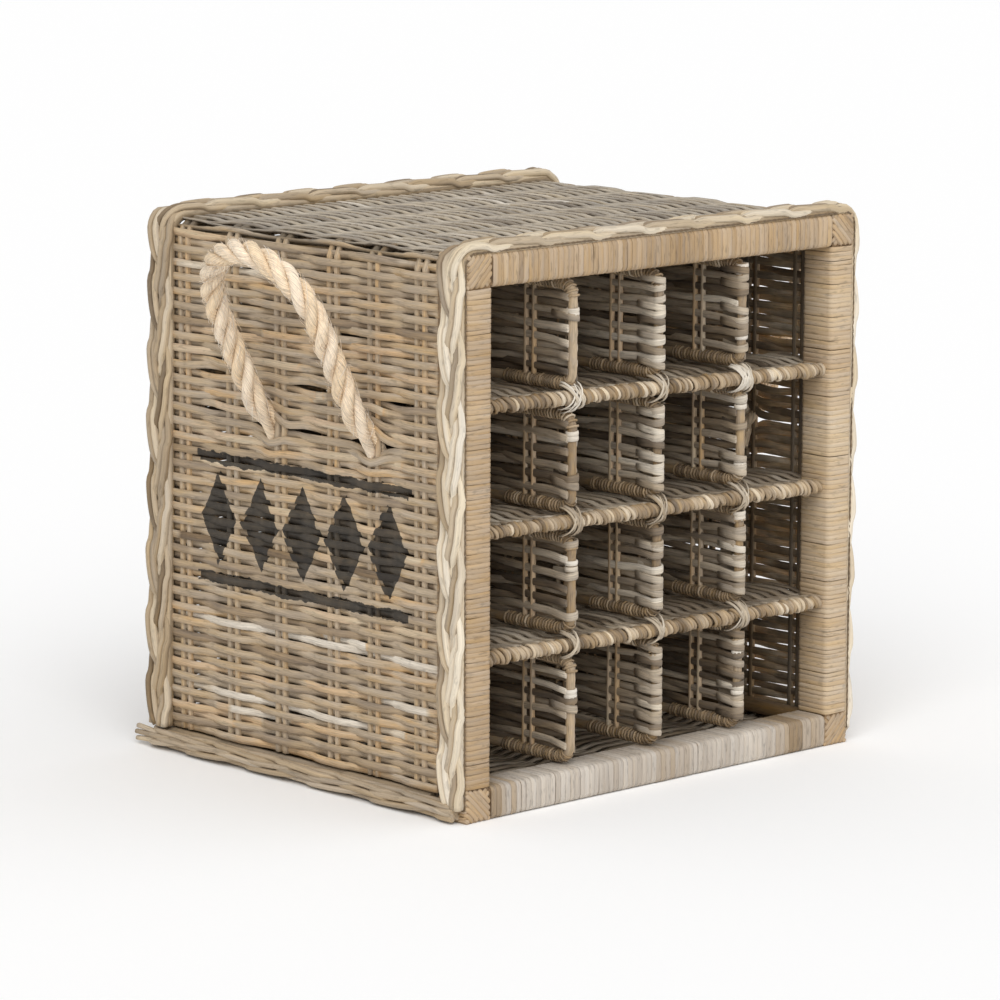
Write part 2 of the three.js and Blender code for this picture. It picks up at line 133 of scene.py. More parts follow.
def add_node(tree, kind, inputs=None, **settings):
    node = tree.nodes.new("ShaderNode" + kind)
    for name, value in settings.items():
        setattr(node, name, value)
    for name, value in (inputs or {}).items():
        if isinstance(value, bpy.types.Node):
            value = value.outputs[0]
        if isinstance(value, bpy.types.NodeSocket):
            tree.links.new(value, node.inputs[name])
        else:
            node.inputs[name].default_value = value
    return node


def to_linear(hex_colour):
    """An sRGB hex colour as the linear RGBA that the shaders work in."""
    parts = [int(hex_colour[i:i + 2], 16) / 255 for i in (1, 3, 5)]
    return [p / 12.92 if p <= 0.04045 else ((p + 0.055) / 1.055) ** 2.4 for p in parts] + [1.0]


def fresh_material(name):
    material = bpy.data.materials.new(name)
    material.use_nodes = True
    material.node_tree.nodes.clear()
    return material, material.node_tree


WHITE = to_linear("#ffffff")
print("white is", WHITE)

# %% [markdown]
# ## Studio
# The rack stands on a white floor in even, soft light. Two wide suns light floor and rack alike
# at any distance, so the floor stays white up to the horizon and still keeps the soft shadow.
# The world shows white to the camera and to reflections, and gives a weaker light to the rack.

# %% Floor, world and lamps
FLOOR_SIZE = 80.0
SKY_STRENGTH = 0.52
SUNS = {  # direction towards the lamp, strength, softness in degrees
    "key": ((-0.62, -0.62, 0.80), 1.66, 50),
    "fill": ((0.55, -0.65, 0.70), 0.58, 90),
}

bm = bmesh.new()
bmesh.ops.create_grid(bm, x_segments=1, y_segments=1, size=FLOOR_SIZE / 2)
floor_mesh = bpy.data.meshes.new("floor")
bm.to_mesh(floor_mesh)
bm.free()
floor = bpy.data.objects.new("floor", floor_mesh)
scene.collection.objects.link(floor)
floor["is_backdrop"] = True

# Matt white paint: an even ground on which only the shadow shows.
floor_paint, tree = fresh_material("matt white studio floor")
shader = add_node(tree, "BsdfDiffuse", {"Color": WHITE})
add_node(tree, "OutputMaterial", {"Surface": shader})
floor_mesh.materials.append(floor_paint)

scene.world = bpy.data.worlds.new("studio")
scene.world.use_nodes = True
tree = scene.world.node_tree
tree.nodes.clear()
rays = add_node(tree, "LightPath")
seen = rays.outputs["Is Camera Ray"]
for kind in ("Is Glossy Ray", "Is Transmission Ray"):
    seen = add_node(tree, "Math", {0: seen, 1: rays.outputs[kind]}, operation="MAXIMUM")
light, white = (add_node(tree, "Background", {"Color": WHITE, "Strength": strength})
                for strength in (SKY_STRENGTH, 1.0))
mixed = add_node(tree, "MixShader", {0: seen, 1: light, 2: white})
add_node(tree, "OutputWorld", {"Surface": mixed})

for name, (direction, strength, softness) in SUNS.items():
    lamp = bpy.data.objects.new(name, bpy.data.lights.new(name, "SUN"))
    lamp.data.energy = strength
    lamp.data.angle = math.radians(softness)
    lamp.rotation_euler = Vector(direction).to_track_quat("Z", "Y").to_euler()
    scene.collection.objects.link(lamp)
scene.view_settings.view_transform = "Standard"
print("lamps:", list(SUNS))

# %% [markdown]
# ## Cane as a material
# Cane is a plant stem: long fibres, colour that drifts slowly along each length, small stains, and
# lengths that differ from their neighbours. A pattern that lies in the room would run straight
# across the strands, so each strand carries two attributes instead. `cane` holds the distance along
# the strand and the place in its section, in millimetres, and `tone` says how pale it is there.
# Tone and drift choose the colour; fibres and stains only make it lighter or darker. Three noises,
# each stretched along the cane, give the drift, the fibres and the stains.

# %% Cane finish
DRIFT_ACROSS = 6.0  # millimetres across the cane over which the slow change shows
STAIN = (9.0, 2.2)  # length and width of a stain
COMMON = (0.32, 0.68)  # where nearly all values of a noise lie
STAINED = (0.57, 0.7)  # values of the noise where a stain starts and where it is full
FRESHNESS = (0.8, 1.15)  # least and most saturation
BUMP_STRENGTH = 0.6
CANE_IOR = 1.45


def cane_finish(name, tones, drift=(50, 0.55), fibre=(24, 0.9, 0.22), roughness=(0.55, 0.8),
                relief=0.35, stains=0.25):
    """tones: (place, colour) from dark to pale; drift: (length, amount) of the slow change;
    fibre: (length, width, amount) of the streaks; lengths in millimetres; relief: fibre height.
    What is not given is that of weathered wicker."""
    material, tree = fresh_material(name)
    place = add_node(tree, "Attribute", attribute_name="cane").outputs["Vector"]
    own = add_node(tree, "Attribute", attribute_name="tone").outputs["Fac"]
    noises = []
    for length, width, detail, rough in (
            (drift[0], DRIFT_ACROSS, 3.0, 0.5), (*fibre[:2], 3.0, 0.6), (*STAIN, 2.0, 0.5)):
        stretched = add_node(tree, "Mapping", {
            "Vector": place, "Scale": (1 / length, 1 / width, 1 / width)})
        noises.append(add_node(tree, "TexNoise", {
            "Vector": stretched, "Scale": 1.0, "Detail": detail, "Roughness": rough}))
    drifting, fibres, spots = noises
    scaled = []
    for noise, (low, high), (first, last) in (
            (fibres, COMMON, (1 - fibre[2], 1 + fibre[2])), (spots, STAINED, (1.0, 1 - stains)),
            (drifting, COMMON, FRESHNESS), (fibres, (0, 1), roughness)):
        scaled.append(add_node(tree, "MapRange", {
            "Value": noise, "From Min": low, "From Max": high, "To Min": first, "To Max": last}))
    streak, stain, freshness, dullness = scaled
    shade = add_node(tree, "Math", {0: drifting, 1: drift[1], 2: own}, operation="MULTIPLY_ADD")
    shade = add_node(tree, "Math", {0: shade, 1: drift[1] / 2}, operation="SUBTRACT")
    ramp = add_node(tree, "ValToRGB", {"Fac": shade})
    stops = ramp.color_ramp.elements
    while len(stops) < len(tones):
        stops.new(1.0)
    for stop, (position, colour) in zip(stops, tones):
        stop.position = position
        stop.color = to_linear(colour)
    light = add_node(tree, "Math", {0: streak, 1: stain}, operation="MULTIPLY")
    tint = add_node(tree, "HueSaturation", {"Color": ramp, "Value": light, "Saturation": freshness})
    raised = add_node(tree, "Bump", {
        "Height": fibres, "Strength": BUMP_STRENGTH, "Distance": relief * MM})
    shader = add_node(tree, "BsdfPrincipled", {
        "Base Color": tint, "Roughness": dullness, "IOR": CANE_IOR, "Normal": raised})
    add_node(tree, "OutputMaterial", {"Surface": shader})
    return material


# Unpeeled cane, soaked, woven and weathered: brown, grey, tan, warm tan, straw and pale lengths.
WICKER_TONES = [(0.0, "#735f47"), (0.2, "#9b866c"), (0.4, "#b29f85"), (0.58, "#baa384"),
                (0.72, "#c6a883"), (0.84, "#c4b297"), (1.0, "#d8cebf")]
wicker = cane_finish("weathered unpeeled wicker", WICKER_TONES)
# The roof catches dust and daylight: the same cane, greyer.
roof_wicker = cane_finish("wicker greyed by daylight", [
    (0.0, "#6d6153"), (0.2, "#8f8374"), (0.4, "#a59a8a"), (0.6, "#b1a490"), (0.8, "#bdb19f"),
    (1.0, "#dcd5cb")])
# The side walls are of the first cane again. Their paint and the painted shade on their inside are
# added later.
wall_wicker = cane_finish("weathered wicker with a painted band", WICKER_TONES)
# Peeled outer skin of the cane: smooth, honey to straw, with a faint gloss.
peel = cane_finish("peeled flat cane", [
    (0.0, "#84694a"), (0.3, "#a48a69"), (0.6, "#b79d7c"), (1.0, "#cbb596")],
    (50, 0.18), (26, 0.7, 0.1), (0.4, 0.62), 0.15, 0.3)
# The same skin low down, bleached by wet floors: grey stretches between tan ones.
bleached_peel = cane_finish("bleached flat cane", [
    (0.0, "#8f7a5f"), (0.3, "#aa967c"), (0.5, "#b0a496"), (1.0, "#c9bfb2")],
    (50, 0.3), (26, 0.7, 0.1), (0.45, 0.68), 0.15, 0.3)
# Plaited core cane: paler and greyer, dry to the touch.
plait_cane = cane_finish("plaited straw-grey cane", [
    (0.0, "#917d63"), (0.35, "#c0ae93"), (0.65, "#d6c7ae"), (1.0, "#e5dac7")],
    (110, 0.4), (40, 1.0, 0.14), (0.5, 0.75), 0.3)
# Painted shade for the rear plait, away from the light: the same core cane, browner.
rear_plait_cane = cane_finish("plaited cane away from the light", [
    (0.0, "#7d6a51"), (0.35, "#a89478"), (0.65, "#bdaa8e"), (1.0, "#d4c5ac")],
    (110, 0.4), (40, 1.0, 0.14), (0.5, 0.75), 0.3)
# Round the foot the core cane took up dirt from the floor: duller still and more streaked.
foot_cane = cane_finish("plaited cane greyed by the floor", [
    (0.0, "#7d6b54"), (0.35, "#a18e74"), (0.65, "#b7a48a"), (1.0, "#d0c0a6")],
    (110, 0.45), (40, 1.0, 0.16), (0.55, 0.8), 0.3)
# Thin cane wound round the rods: brown, knobbly, catching small highlights.
rim_cane = cane_finish("brown binding cane", [
    (0.0, "#6d5a42"), (0.35, "#967f61"), (0.65, "#b39d7f"), (1.0, "#dbcbb2")],
    (12, 0.5), (14, 0.7, 0.2), (0.42, 0.68), 0.25)
# Cane of the inner walls: kept out of the sun, dull brown with grey and pale lengths.
inner_wicker = cane_finish("dull inner wicker", [
    (0.0, "#5d5041"), (0.25, "#857561"), (0.5, "#a2937f"), (0.75, "#b5a793"), (1.0, "#d3c8b6")],
    (45, 0.6), (24, 0.9, 0.26), (0.5, 0.8), 0.35)
# Pale split cane of the lashings, nearly white where it was just cut.
tie_cane = cane_finish("pale split tie cane", [
    (0.0, "#9c8a72"), (0.4, "#c2b49f"), (1.0, "#e4dccf")],
    (30, 0.4), (10, 0.6, 0.15), (0.45, 0.7), 0.2)
# Rattan pole with its skin on: brown, smooth, a little waxy.
pole_skin = cane_finish("rattan pole", [
    (0.0, "#6a553b"), (0.45, "#8d7351"), (1.0, "#ab9068")],
    (80, 0.4), (40, 0.9, 0.15), (0.4, 0.6), 0.3)
# Rope laid from dry grass: straw, matt, with fine yarn lines.
straw = cane_finish("laid straw rope", [
    (0.0, "#c3a174"), (0.3, "#eed2aa"), (0.6, "#f9e5ca"), (1.0, "#fef8ef")],
    (20, 0.6), (12, 0.5, 0.32), (0.6, 0.9), 0.9, 0.25)
print("finishes:", len(bpy.data.materials))

# %% [markdown]
# ## Winding canes into a mesh
# A cane is a small outline carried along a line, which is exactly a Blender curve with a bevel
# object. All strands that share an outline go into one curve, the curve becomes a mesh, and the
# two attributes are written ring by ring. `Z_UP` keeps flat cane level along a run that stays out
# of the vertical; `MINIMUM` suits round cane and runs that turn any way.

# %% Strand helpers
Strand = namedtuple("Strand", "points tilt girth tone closed", defaults=(0.0, 1.0, 0.5, False))
SHIFT = 9000  # every strand starts its pattern somewhere else within this length


def line(x, y, z):
    """Points of a line; a single number stays the same all along it."""
    return np.column_stack(np.broadcast_arrays(x, y, z))


def along_line(points):
    """Distance of every point from the start of its line."""
    return np.concatenate([[0], np.cumsum(np.linalg.norm(np.diff(points, axis=0), axis=1))])


def even_steps(points, step):
    along = along_line(points)
    places = np.linspace(0, along[-1], round(along[-1] / step) + 1)
    return line(*(np.interp(places, along, points[:, axis]) for axis in range(3)))


def round_turn(count):
    return np.linspace(0, FULL_TURN, count, endpoint=False)


def cane_outline(width, thickness, sides, fullness=0.8):
    """Section of a cane: fullness 1 is an oval, less is squarer."""
    turn = -FULL_TURN * (np.arange(sides) + 0.5) / sides
    across = np.sign(np.cos(turn)) * np.abs(np.cos(turn)) ** fullness
    up = np.sign(np.sin(turn)) * np.abs(np.sin(turn)) ** fullness
    return np.column_stack([across * width / 2, up * thickness / 2])


def round_outline(diameter, sides):
    return cane_outline(diameter, diameter, sides, 1.0)


def poly_spline(curve, points, closed):
    spline = curve.splines.new("POLY")
    spline.points.add(len(points) - 1)
    spline.points.foreach_set("co", np.column_stack([points, np.ones(len(points))]).ravel())
    spline.use_cyclic_u = closed
    return spline


def wind(strands, outline, twist="MINIMUM"):
    """Carries the outline along all strands and returns them as one mesh with its attributes."""
    section = bpy.data.curves.new("section", "CURVE")
    section.dimensions = "2D"
    poly_spline(section, line(*(outline * MM).T, 0), True)
    holder = bpy.data.objects.new("section", section)
    curve = bpy.data.curves.new("strands", "CURVE")
    curve.dimensions = "3D"
    curve.twist_mode = twist
    curve.bevel_mode = "OBJECT"
    curve.bevel_object = holder
    places, tones = [], []
    for strand in strands:
        count = len(strand.points)
        spline = poly_spline(curve, strand.points * MM, strand.closed)
        for name, values in (("tilt", strand.tilt), ("radius", strand.girth)):
            spline.points.foreach_set(name, np.broadcast_to(values, count).astype(float))
        place = np.empty((count, len(outline), 3))
        place[..., 0] = (along_line(strand.points) + chance.uniform(0, SHIFT))[:, None]
        place[..., 1:] = outline
        places.append(place.reshape(-1, 3))
        tones.append(np.repeat(np.broadcast_to(strand.tone, count), len(outline)))
    wound = bpy.data.objects.new("strands", curve)
    for helper in (holder, wound):
        scene.collection.objects.link(helper)
    ready = wound.evaluated_get(bpy.context.evaluated_depsgraph_get())
    mesh = bpy.data.meshes.new_from_object(ready)
    for data in (curve, section):
        bpy.data.curves.remove(data)
    for name, kind, field, values in (
            ("cane", "FLOAT_VECTOR", "vector", places), ("tone", "FLOAT", "value", tones)):
        layer = mesh.attributes.new(name, kind, "POINT")
        layer.data.foreach_set(field, np.concatenate(values).astype(np.float32).ravel())
    return mesh


def make_piece(name, wound, nodes, rides="rack"):
    """Joins (mesh, finish) pairs, closes the cut ends and puts the piece in place of its solids."""
    data = bpy.data.meshes.new(name)
    bm = bmesh.new()
    for mesh, finish in wound:
        if finish.name not in data.materials:
            data.materials.append(finish)
        number = data.materials.find(finish.name)
        mesh.polygons.foreach_set("material_index", np.full(len(mesh.polygons), number, np.int32))
        bm.from_mesh(mesh)
        bpy.data.meshes.remove(mesh)
    for face in bm.faces:
        face.smooth = True
    for face in bmesh.ops.holes_fill(bm, edges=bm.edges)["faces"]:
        face.smooth = False
        face.material_index = max(side.material_index for side in face.edges[0].link_faces)
    bm.to_mesh(data)
    bm.free()
    piece = bpy.data.objects.new(name, data)
    scene.collection.objects.link(piece)
    if rides:
        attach(piece, rides)
    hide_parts(*nodes)
    data.calc_loop_triangles()
    print(f"{name}: {len(data.loop_triangles)} triangles for {len(nodes)} solids")
    return piece


def tone(middle=0.5, spread=0.2):
    """How pale a strand is: mostly middling, now and then dark or bright."""
    return float(np.clip(chance.normal(middle, spread), 0.0, 1.0))


def grouped_tones(count, group, spread, jitter):
    """Tones of neighbouring turns: one length of cane makes a group of turns that look alike."""
    knots = max(2, round(count / group))
    slow = np.interp(np.linspace(0, knots - 1, count), np.arange(knots),
                     chance.normal(0.5, spread, knots))
    return np.clip(slow + chance.normal(0, jitter, count), 0, 1)


print("oval cane:", cane_outline(6, 3, 6).round(1).tolist())

# %% [markdown]
# ## Rope handles
# Each handle is one length of three-strand rope. It comes out of the side wall, rises in a loop
# that leans outwards, and goes back in, where both ends turn down inside the wall. The route
# repeats the solids: a tail, a leg, a half circle, a leg and a tail. A laid rope is three strands
# on a helix, and every strand has a scalloped outline that is turned the other way as it runs,
# which reads as twisted yarns. Loose ends of grass stand off the surface.

# %% Rope handles
ROPE_DIAMETER = 20
SWING_X, HANDLE_Y = 228.8, -22
SWING_Z = {"left": 300, "right": 276}
HANDLE_SPACING, HANDLE_HEIGHT = 121, 158
HANDLE_LEAN = math.radians(26)
TAIL_X, TAIL_TURN, TAIL_END_Z = 200.2, 16, 237  # where the inner ends hang, turn down and stop
TAIL_GIRTH = 0.78  # the inner ends are drawn tight
LEG_START, TURN_IN = 14, 0.14  # where the leg leaves its straight line, and the tail takes over
TAIL_POINTS, LEG_POINTS, BEND_POINTS = 12, 11, 40
ROPE_STEP = 2.5
ROPE_EASE = 11  # points over which corners of the route are rounded off
LAY_LENGTH = 60  # of one turn of the strands
# The strands lie straighter near the wall: up to the first distance from an end the lay is only
# this share of the full one, and from the second distance on it is full.
OPEN_LAY = (60, 112, 0.4)
SWELL = (1.06, 0.04, 17)  # girth of a strand, how much it changes and over what length
STRAND_TONES = (0.42, 0.1)  # of the first strand, and the step to the next
YARN_LENGTH, YARNS = 34, 9  # one turn of the yarns, and how many make a strand
YARN_GROOVE = 0.84  # radius between two yarns, as a share
GRASS_ENDS, GRASS_DIAMETER = 420, 0.5
GRASS_FROM = 24  # steps of the route at each end that lie inside the wall
GRASS_STEPS, GRASS_TURN = (4, 8), 0.9  # how far an end runs along the rope and round it
GRASS_SUNK, GRASS_STANDS = 0.8, (1.0, 3.0)  # its root in the rope, and its tip off it
TRIAD = 1 + 2 / math.sqrt(3)  # rope radius over strand radius


def rope_route(side, swing_z):
    """Middle line of one rope, from one inner end to the other."""
    half = HANDLE_SPACING / 2
    leg = HANDLE_HEIGHT - half
    t = np.linspace(1, TURN_IN, TAIL_POINTS)[:, None]
    tail = ((1 - t) ** 2 * [SWING_X, 0, swing_z]
            + 2 * t * (1 - t) * [TAIL_X, 0, swing_z - TAIL_TURN] + t ** 2 * [TAIL_X, 0, TAIL_END_Z])
    bend = np.linspace(np.pi, 0, BEND_POINTS)
    rising = np.linspace(LEG_START, leg, LEG_POINTS)[:-1]
    sinking = np.linspace(leg, LEG_START, LEG_POINTS)[1:]
    across = np.concatenate([0 * rising - half, half * np.cos(bend), 0 * sinking + half])
    up = np.concatenate([rising, leg + half * np.sin(bend), sinking])
    loop = line(SWING_X + up * math.sin(HANDLE_LEAN), across, swing_z + up * math.cos(HANDLE_LEAN))
    route = np.concatenate([tail - [0, half, 0], loop, tail[::-1] + [0, half, 0]])
    route = even_steps(route + [0, HANDLE_Y, 0], ROPE_STEP)
    wide = np.pad(route, ((ROPE_EASE // 2, ROPE_EASE // 2), (0, 0)), "edge")
    eased = line(*(np.convolve(wide[:, axis], np.ones(ROPE_EASE) / ROPE_EASE, "valid")
                   for axis in range(3)))
    return even_steps(eased, ROPE_STEP) * [side, 1, 1]


def carried_frame(route):
    """Two directions across a route, carried along it without spinning."""
    ahead = np.gradient(route, axis=0)
    ahead /= np.linalg.norm(ahead, axis=1)[:, None]
    first = np.empty_like(route)
    first[0] = np.cross(ahead[0], [0, 1, 0])
    for i in range(len(route)):
        drawn = first[max(i - 1, 0)]
        drawn = drawn - ahead[i] * np.dot(drawn, ahead[i])
        first[i] = drawn / np.linalg.norm(drawn)
    return first, np.cross(ahead, first)


def round_about(turn, first, second):
    """Directions away from a route, at angles in its carried frame."""
    return np.cos(turn)[:, None] * first + np.sin(turn)[:, None] * second


def scalloped_outline(radius, lobes):
    spots = np.arange(lobes * 3)
    turn = -FULL_TURN * spots / (lobes * 3)
    reach = radius * np.where(spots % 3 == 0, YARN_GROOVE, 1.0)
    return np.column_stack([reach * np.cos(turn), reach * np.sin(turn)])


def rope(name, side):
    route = rope_route(side, SWING_Z[name])
    along = along_line(route)
    first, second = carried_frame(route)
    strand_radius = ROPE_DIAMETER / 2 / TRIAD
    centre = ROPE_DIAMETER / 2 - strand_radius
    tight = np.interp(abs(route[:, 0]), [TAIL_X, SWING_X], [TAIL_GIRTH, 1])
    from_end = np.minimum(along, along[-1] - along)
    lay = np.cumsum(np.interp(from_end, OPEN_LAY[:2], [OPEN_LAY[2], 1])) * ROPE_STEP / LAY_LENGTH
    strands = []
    for number in range(3):
        away = round_about(FULL_TURN * (lay + number / 3), first, second)
        swell = tight * (SWELL[0] + SWELL[1] * np.sin(along / SWELL[2] + 2 * number))
        strands.append(Strand(route + (centre * tight)[:, None] * away,
                              -FULL_TURN * along / YARN_LENGTH, swell,
                              STRAND_TONES[0] + STRAND_TONES[1] * number))
    grass = []
    for _ in range(GRASS_ENDS):
        start = chance.integers(GRASS_FROM, len(route) - GRASS_FROM - GRASS_STEPS[1])
        count = chance.integers(*GRASS_STEPS)
        turn = chance.uniform(0, FULL_TURN) + np.linspace(0, GRASS_TURN, count)
        reach = ROPE_DIAMETER / 2 - GRASS_SUNK + np.linspace(0, chance.uniform(*GRASS_STANDS), count)
        here = slice(start, start + count)
        points = route[here] + reach[:, None] * round_about(turn, first[here], second[here])
        grass.append(Strand(points, 0.0, np.linspace(1.0, 0.4, count), chance.uniform(0.4, 1.0)))
    laid = wind(strands, scalloped_outline(strand_radius, YARNS))
    loose = wind(grass, round_outline(GRASS_DIAMETER, 3))
    nodes = [f"{name}_rope_loop", f"{name}_rope_tail_front", f"{name}_rope_tail_rear"]
    piece = make_piece(f"{name}_rope_handle", [(laid, straw), (loose, straw)], nodes,
                       rides=None)
    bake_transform(piece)


rope("left", -1)
rope("right", 1)

# %% [markdown]
# ## Battens
# The four bars of the front frame are sawn battens under the cane. They show only as thin lines
# between the turns, so their solids stay and get a sawn-wood finish on Object coordinates.

# %% Battens
GRAIN = 3.0  # millimetres over which the wave of the grain goes on by one radian
WAVE_SPEED = 20  # radians per unit in the wave node at a scale of one
# Sawn pine: dry, dark wood with a faint grain, seen as thin lines between the turns.
batten_wood, tree = fresh_material("sawn pine batten")
room = add_node(tree, "TexCoord")
grain = add_node(tree, "TexWave", {
    "Vector": room.outputs["Object"], "Scale": 1 / (GRAIN * MM) / WAVE_SPEED, "Distortion": 4.0,
    "Detail": 2.0}, wave_type="RINGS")
ramp = add_node(tree, "ValToRGB", {"Fac": grain.outputs["Fac"]})
for stop, colour in zip(ramp.color_ramp.elements, ("#5a4631", "#8a6f4e")):
    stop.color = to_linear(colour)
shader = add_node(tree, "BsdfPrincipled", {"Base Color": ramp, "Roughness": 0.75})
add_node(tree, "OutputMaterial", {"Surface": shader})
cores = [node for name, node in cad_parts.items() if name.endswith("_core")]
for core in cores:
    core.data.materials.clear()
    core.data.materials.append(batten_wood)
print("battens:", len(cores))

# %% [markdown]
# ## Bound bars
# A long strip of peeled cane is wound round each batten, turn against turn. Modelled as one
# spiral, every turn would look the same, so each turn is its own closed ring with its own tone,
# width and small slant. A bar is wound upright on the origin and then turned into place.

# %% Bound bars
POST_PITCH, RAIL_PITCH = 3.9, 5.4
PEEL_THICKNESS = 2.0
PEEL_OVERLAP = 0.4  # how much wider the strip is than its pitch
BAR_EDGE = 3.6  # rounding of the bar under the cane
RIGHT_POST_PAINTED_LIGHT = 0.35  # painted light: the right post is made paler against the shade it stands in
LOOSE_TURN = 0.1  # share of the turns that are narrow and leave a dark line
NARROW, SNUG = (0.8, 0.9), (0.95, 1.0)  # widths of such turns and of the others
TURNS_ALIKE = 7
POST_TONES, TOP_TONES, FOOT_TONES = (0.09, 0.05), (0.09, 0.09), (0.3, 0.16)  # spread: groups, turns
TURN_STRAY = (0.012, 0.006, 0.12)  # spread of slant, looseness and height
peel_outlines = {pitch: cane_outline(pitch + PEEL_OVERLAP, PEEL_THICKNESS, 8, 0.6)
                 for pitch in (POST_PITCH, RAIL_PITCH)}


def rounded_ring(half_x, half_y, radius):
    """A level ring with rounded corners and a point in the middle of each side."""
    points = []
    middles = [(0, half_y), (-half_x, 0), (0, -half_y), (half_x, 0)]
    for quarter, middle in enumerate(middles):
        centre_x = (half_x - radius) * (1 if quarter in (0, 3) else -1)
        centre_y = (half_y - radius) * (1 if quarter < 2 else -1)
        for step in (0, 0.5, 1):
            turn = (quarter + step) * QUARTER
            points.append((centre_x + radius * math.cos(turn), centre_y + radius * math.sin(turn)))
        points.append(middle)
    return np.array(points)


def bar_turns(half_x, half_y, reach, pitch, spread, jitter, paler=0.0):
    ring = rounded_ring(half_x - PEEL_THICKNESS / 2, half_y - PEEL_THICKNESS / 2, BAR_EDGE)
    count = round(2 * reach / pitch)
    places = np.linspace(pitch / 2 - reach, reach - pitch / 2, count)
    turns = []
    for place, shade in zip(places, grouped_tones(count, TURNS_ALIKE, spread, jitter) + paler):
        slant = chance.normal(0, TURN_STRAY[0])
        loose = 1 + abs(chance.normal(0, TURN_STRAY[1]))
        height = place + chance.normal(0, TURN_STRAY[2]) + slant * ring[:, 0]
        width = chance.uniform(*(NARROW if chance.random() < LOOSE_TURN else SNUG))
        turns.append(Strand(line(*(ring * loose).T, height), QUARTER, width, shade, True))
    return turns


for node in ("front_left_post", "front_right_post", "front_top_rail", "front_bottom_rail"):
    _, _, size, middle = box_of(f"{node}_binding")
    if node.endswith("post"):
        pitch = POST_PITCH
        # The right post gets painted light: its turns are made paler.
        turns = bar_turns(size[0] / 2, size[1] / 2, size[2] / 2, pitch, *POST_TONES,
                          RIGHT_POST_PAINTED_LIGHT if "right" in node else 0.0)
        place = shift(*middle)
    else:
        pitch = RAIL_PITCH
        turns = bar_turns(size[2] / 2, size[1] / 2, size[0] / 2, pitch,
                          *(FOOT_TONES if "bottom" in node else TOP_TONES))
        place = shift(*middle) @ LAID_ALONG_X
    wound = wind(turns, peel_outlines[pitch], "Z_UP")
    wound.transform(place)
    skin = bleached_peel if "bottom" in node else peel
    make_piece(f"{node}_turns", [(wound, skin)], [f"{node}_binding"])

# %% [markdown]
# ## Corner bindings
# At a corner the strip crosses from one bar to the other, so it lies at 45 degrees: one set of
# turns crosses the mitre, and a second set under it runs along the mitre and shows in the other two
# corners. Both sets are level rings again, stacked along a diagonal and turned about the depth axis.

# %% Corner bindings
STRIP_PITCH, STRIP_OVERLAP = 3.6, 0.35
OVER_FROM, OVER_SHORT = -9.0, 2  # the upper set: from inside the middle to short of the corner
UNDER_TURNS = np.arange(-4.5, 5)  # the lower set, on both sides of the middle
TUCKED = 0.8  # drawn in, because the edges of a strip at 45 degrees stand out
STRIP_BEND = (2.5, 0.6)  # rounding of a turn, and its most as a share of the turn
strip_outline = cane_outline(STRIP_PITCH + STRIP_OVERLAP, PEEL_THICKNESS, 8, 0.6)
CORNER_TURNS = {  # which way the outer corner lies, as a turn about Y
    "front_top_left": -0.5, "front_top_right": 0.5,
    "front_bottom_right": 1.5, "front_bottom_left": -1.5,
}


def diagonal_turns(heights, half_diagonal, half_depth):
    turns = []
    for height in heights:
        reach = half_diagonal - abs(height) - PEEL_THICKNESS / 2 - TUCKED
        bend = min(STRIP_BEND[0], reach * STRIP_BEND[1])
        ring = rounded_ring(reach, half_depth - PEEL_THICKNESS / 2, bend)
        points = line(*ring.T, height + chance.normal(0, 0.2))
        turns.append(Strand(points, QUARTER, chance.uniform(0.93, 1.0), tone(0.5, 0.09), True))
    return turns


for corner, quarter_turns in CORNER_TURNS.items():
    _, _, size, middle = box_of(f"{corner}_corner_binding")
    half_diagonal = size[0] / math.sqrt(2)
    over = np.arange(OVER_FROM, half_diagonal - OVER_SHORT, STRIP_PITCH)
    under = UNDER_TURNS * STRIP_PITCH
    wound = []
    for heights, half_depth, turned in (
            (over, size[1] / 2, quarter_turns),
            (under, size[1] / 2 - PEEL_THICKNESS / 2, quarter_turns + 1)):
        mesh = wind(diagonal_turns(heights, half_diagonal, half_depth), strip_outline, "Z_UP")
        mesh.transform(shift(*middle) @ Matrix.Rotation(turned * QUARTER, 4, "Y"))
        wound.append((mesh, peel))
    make_piece(f"{corner}_corner_turns", wound, [f"{corner}_corner_binding"])

# %% [markdown]
# ## Rattan poles
# Round rattan poles behind the frame carry the woven walls. A pole is never quite straight, and
# a low ring marks every joint of the stem, so a round section follows a slightly wandering line
# and swells at the joints.

# %% Rattan poles
POLE_STEP = 7
POLE_BEND = (0.4, 90)  # how far and over what length a pole wanders
POLE_GIRTH = 0.97  # at a joint
JOINT_SPACING, JOINT_LENGTH = 118, 3.5
JOINT_SWELL = 0.05
POLES = ("left_top_rail", "left_bottom_rail", "rear_left_post", "right_top_rail",
         "right_bottom_rail", "rear_right_post", "rear_top_rail", "rear_bottom_rail")

for node in POLES:
    low, high, size, middle = box_of(node)
    run = int(np.argmax(size))
    diameter = float(np.delete(size, run).mean())
    count = int(size[run] / POLE_STEP)
    points = np.tile(middle, (count, 1))
    points[:, run] = np.linspace(low[run], high[run], count)
    stations = points[:, run] + chance.uniform(0, JOINT_SPACING)
    bent = POLE_BEND[0] * np.sin(stations[:, None] / POLE_BEND[1] + chance.uniform(0, 6, 3))
    bent[:, run] = 0
    joints = np.exp(-((stations % JOINT_SPACING - JOINT_SPACING / 2) / JOINT_LENGTH) ** 2)
    girth = POLE_GIRTH - JOINT_SWELL * (1 - joints)
    wound = wind([Strand(points + bent, 0.0, girth, tone())], round_outline(diameter, 12))
    make_piece(f"{node}_pole", [(wound, pole_skin)], [node])

# %% [markdown]
# ## The weave
# The walls are plain weave. Stakes stand in pairs, and flat weavers run across them, over one
# pair and under the next, each row opposite to its neighbour. One formula gives the height of a
# weaver above the middle of the weave: it lies flat beside its neighbours between two pairs, rises
# over the one pair and dips behind the other.

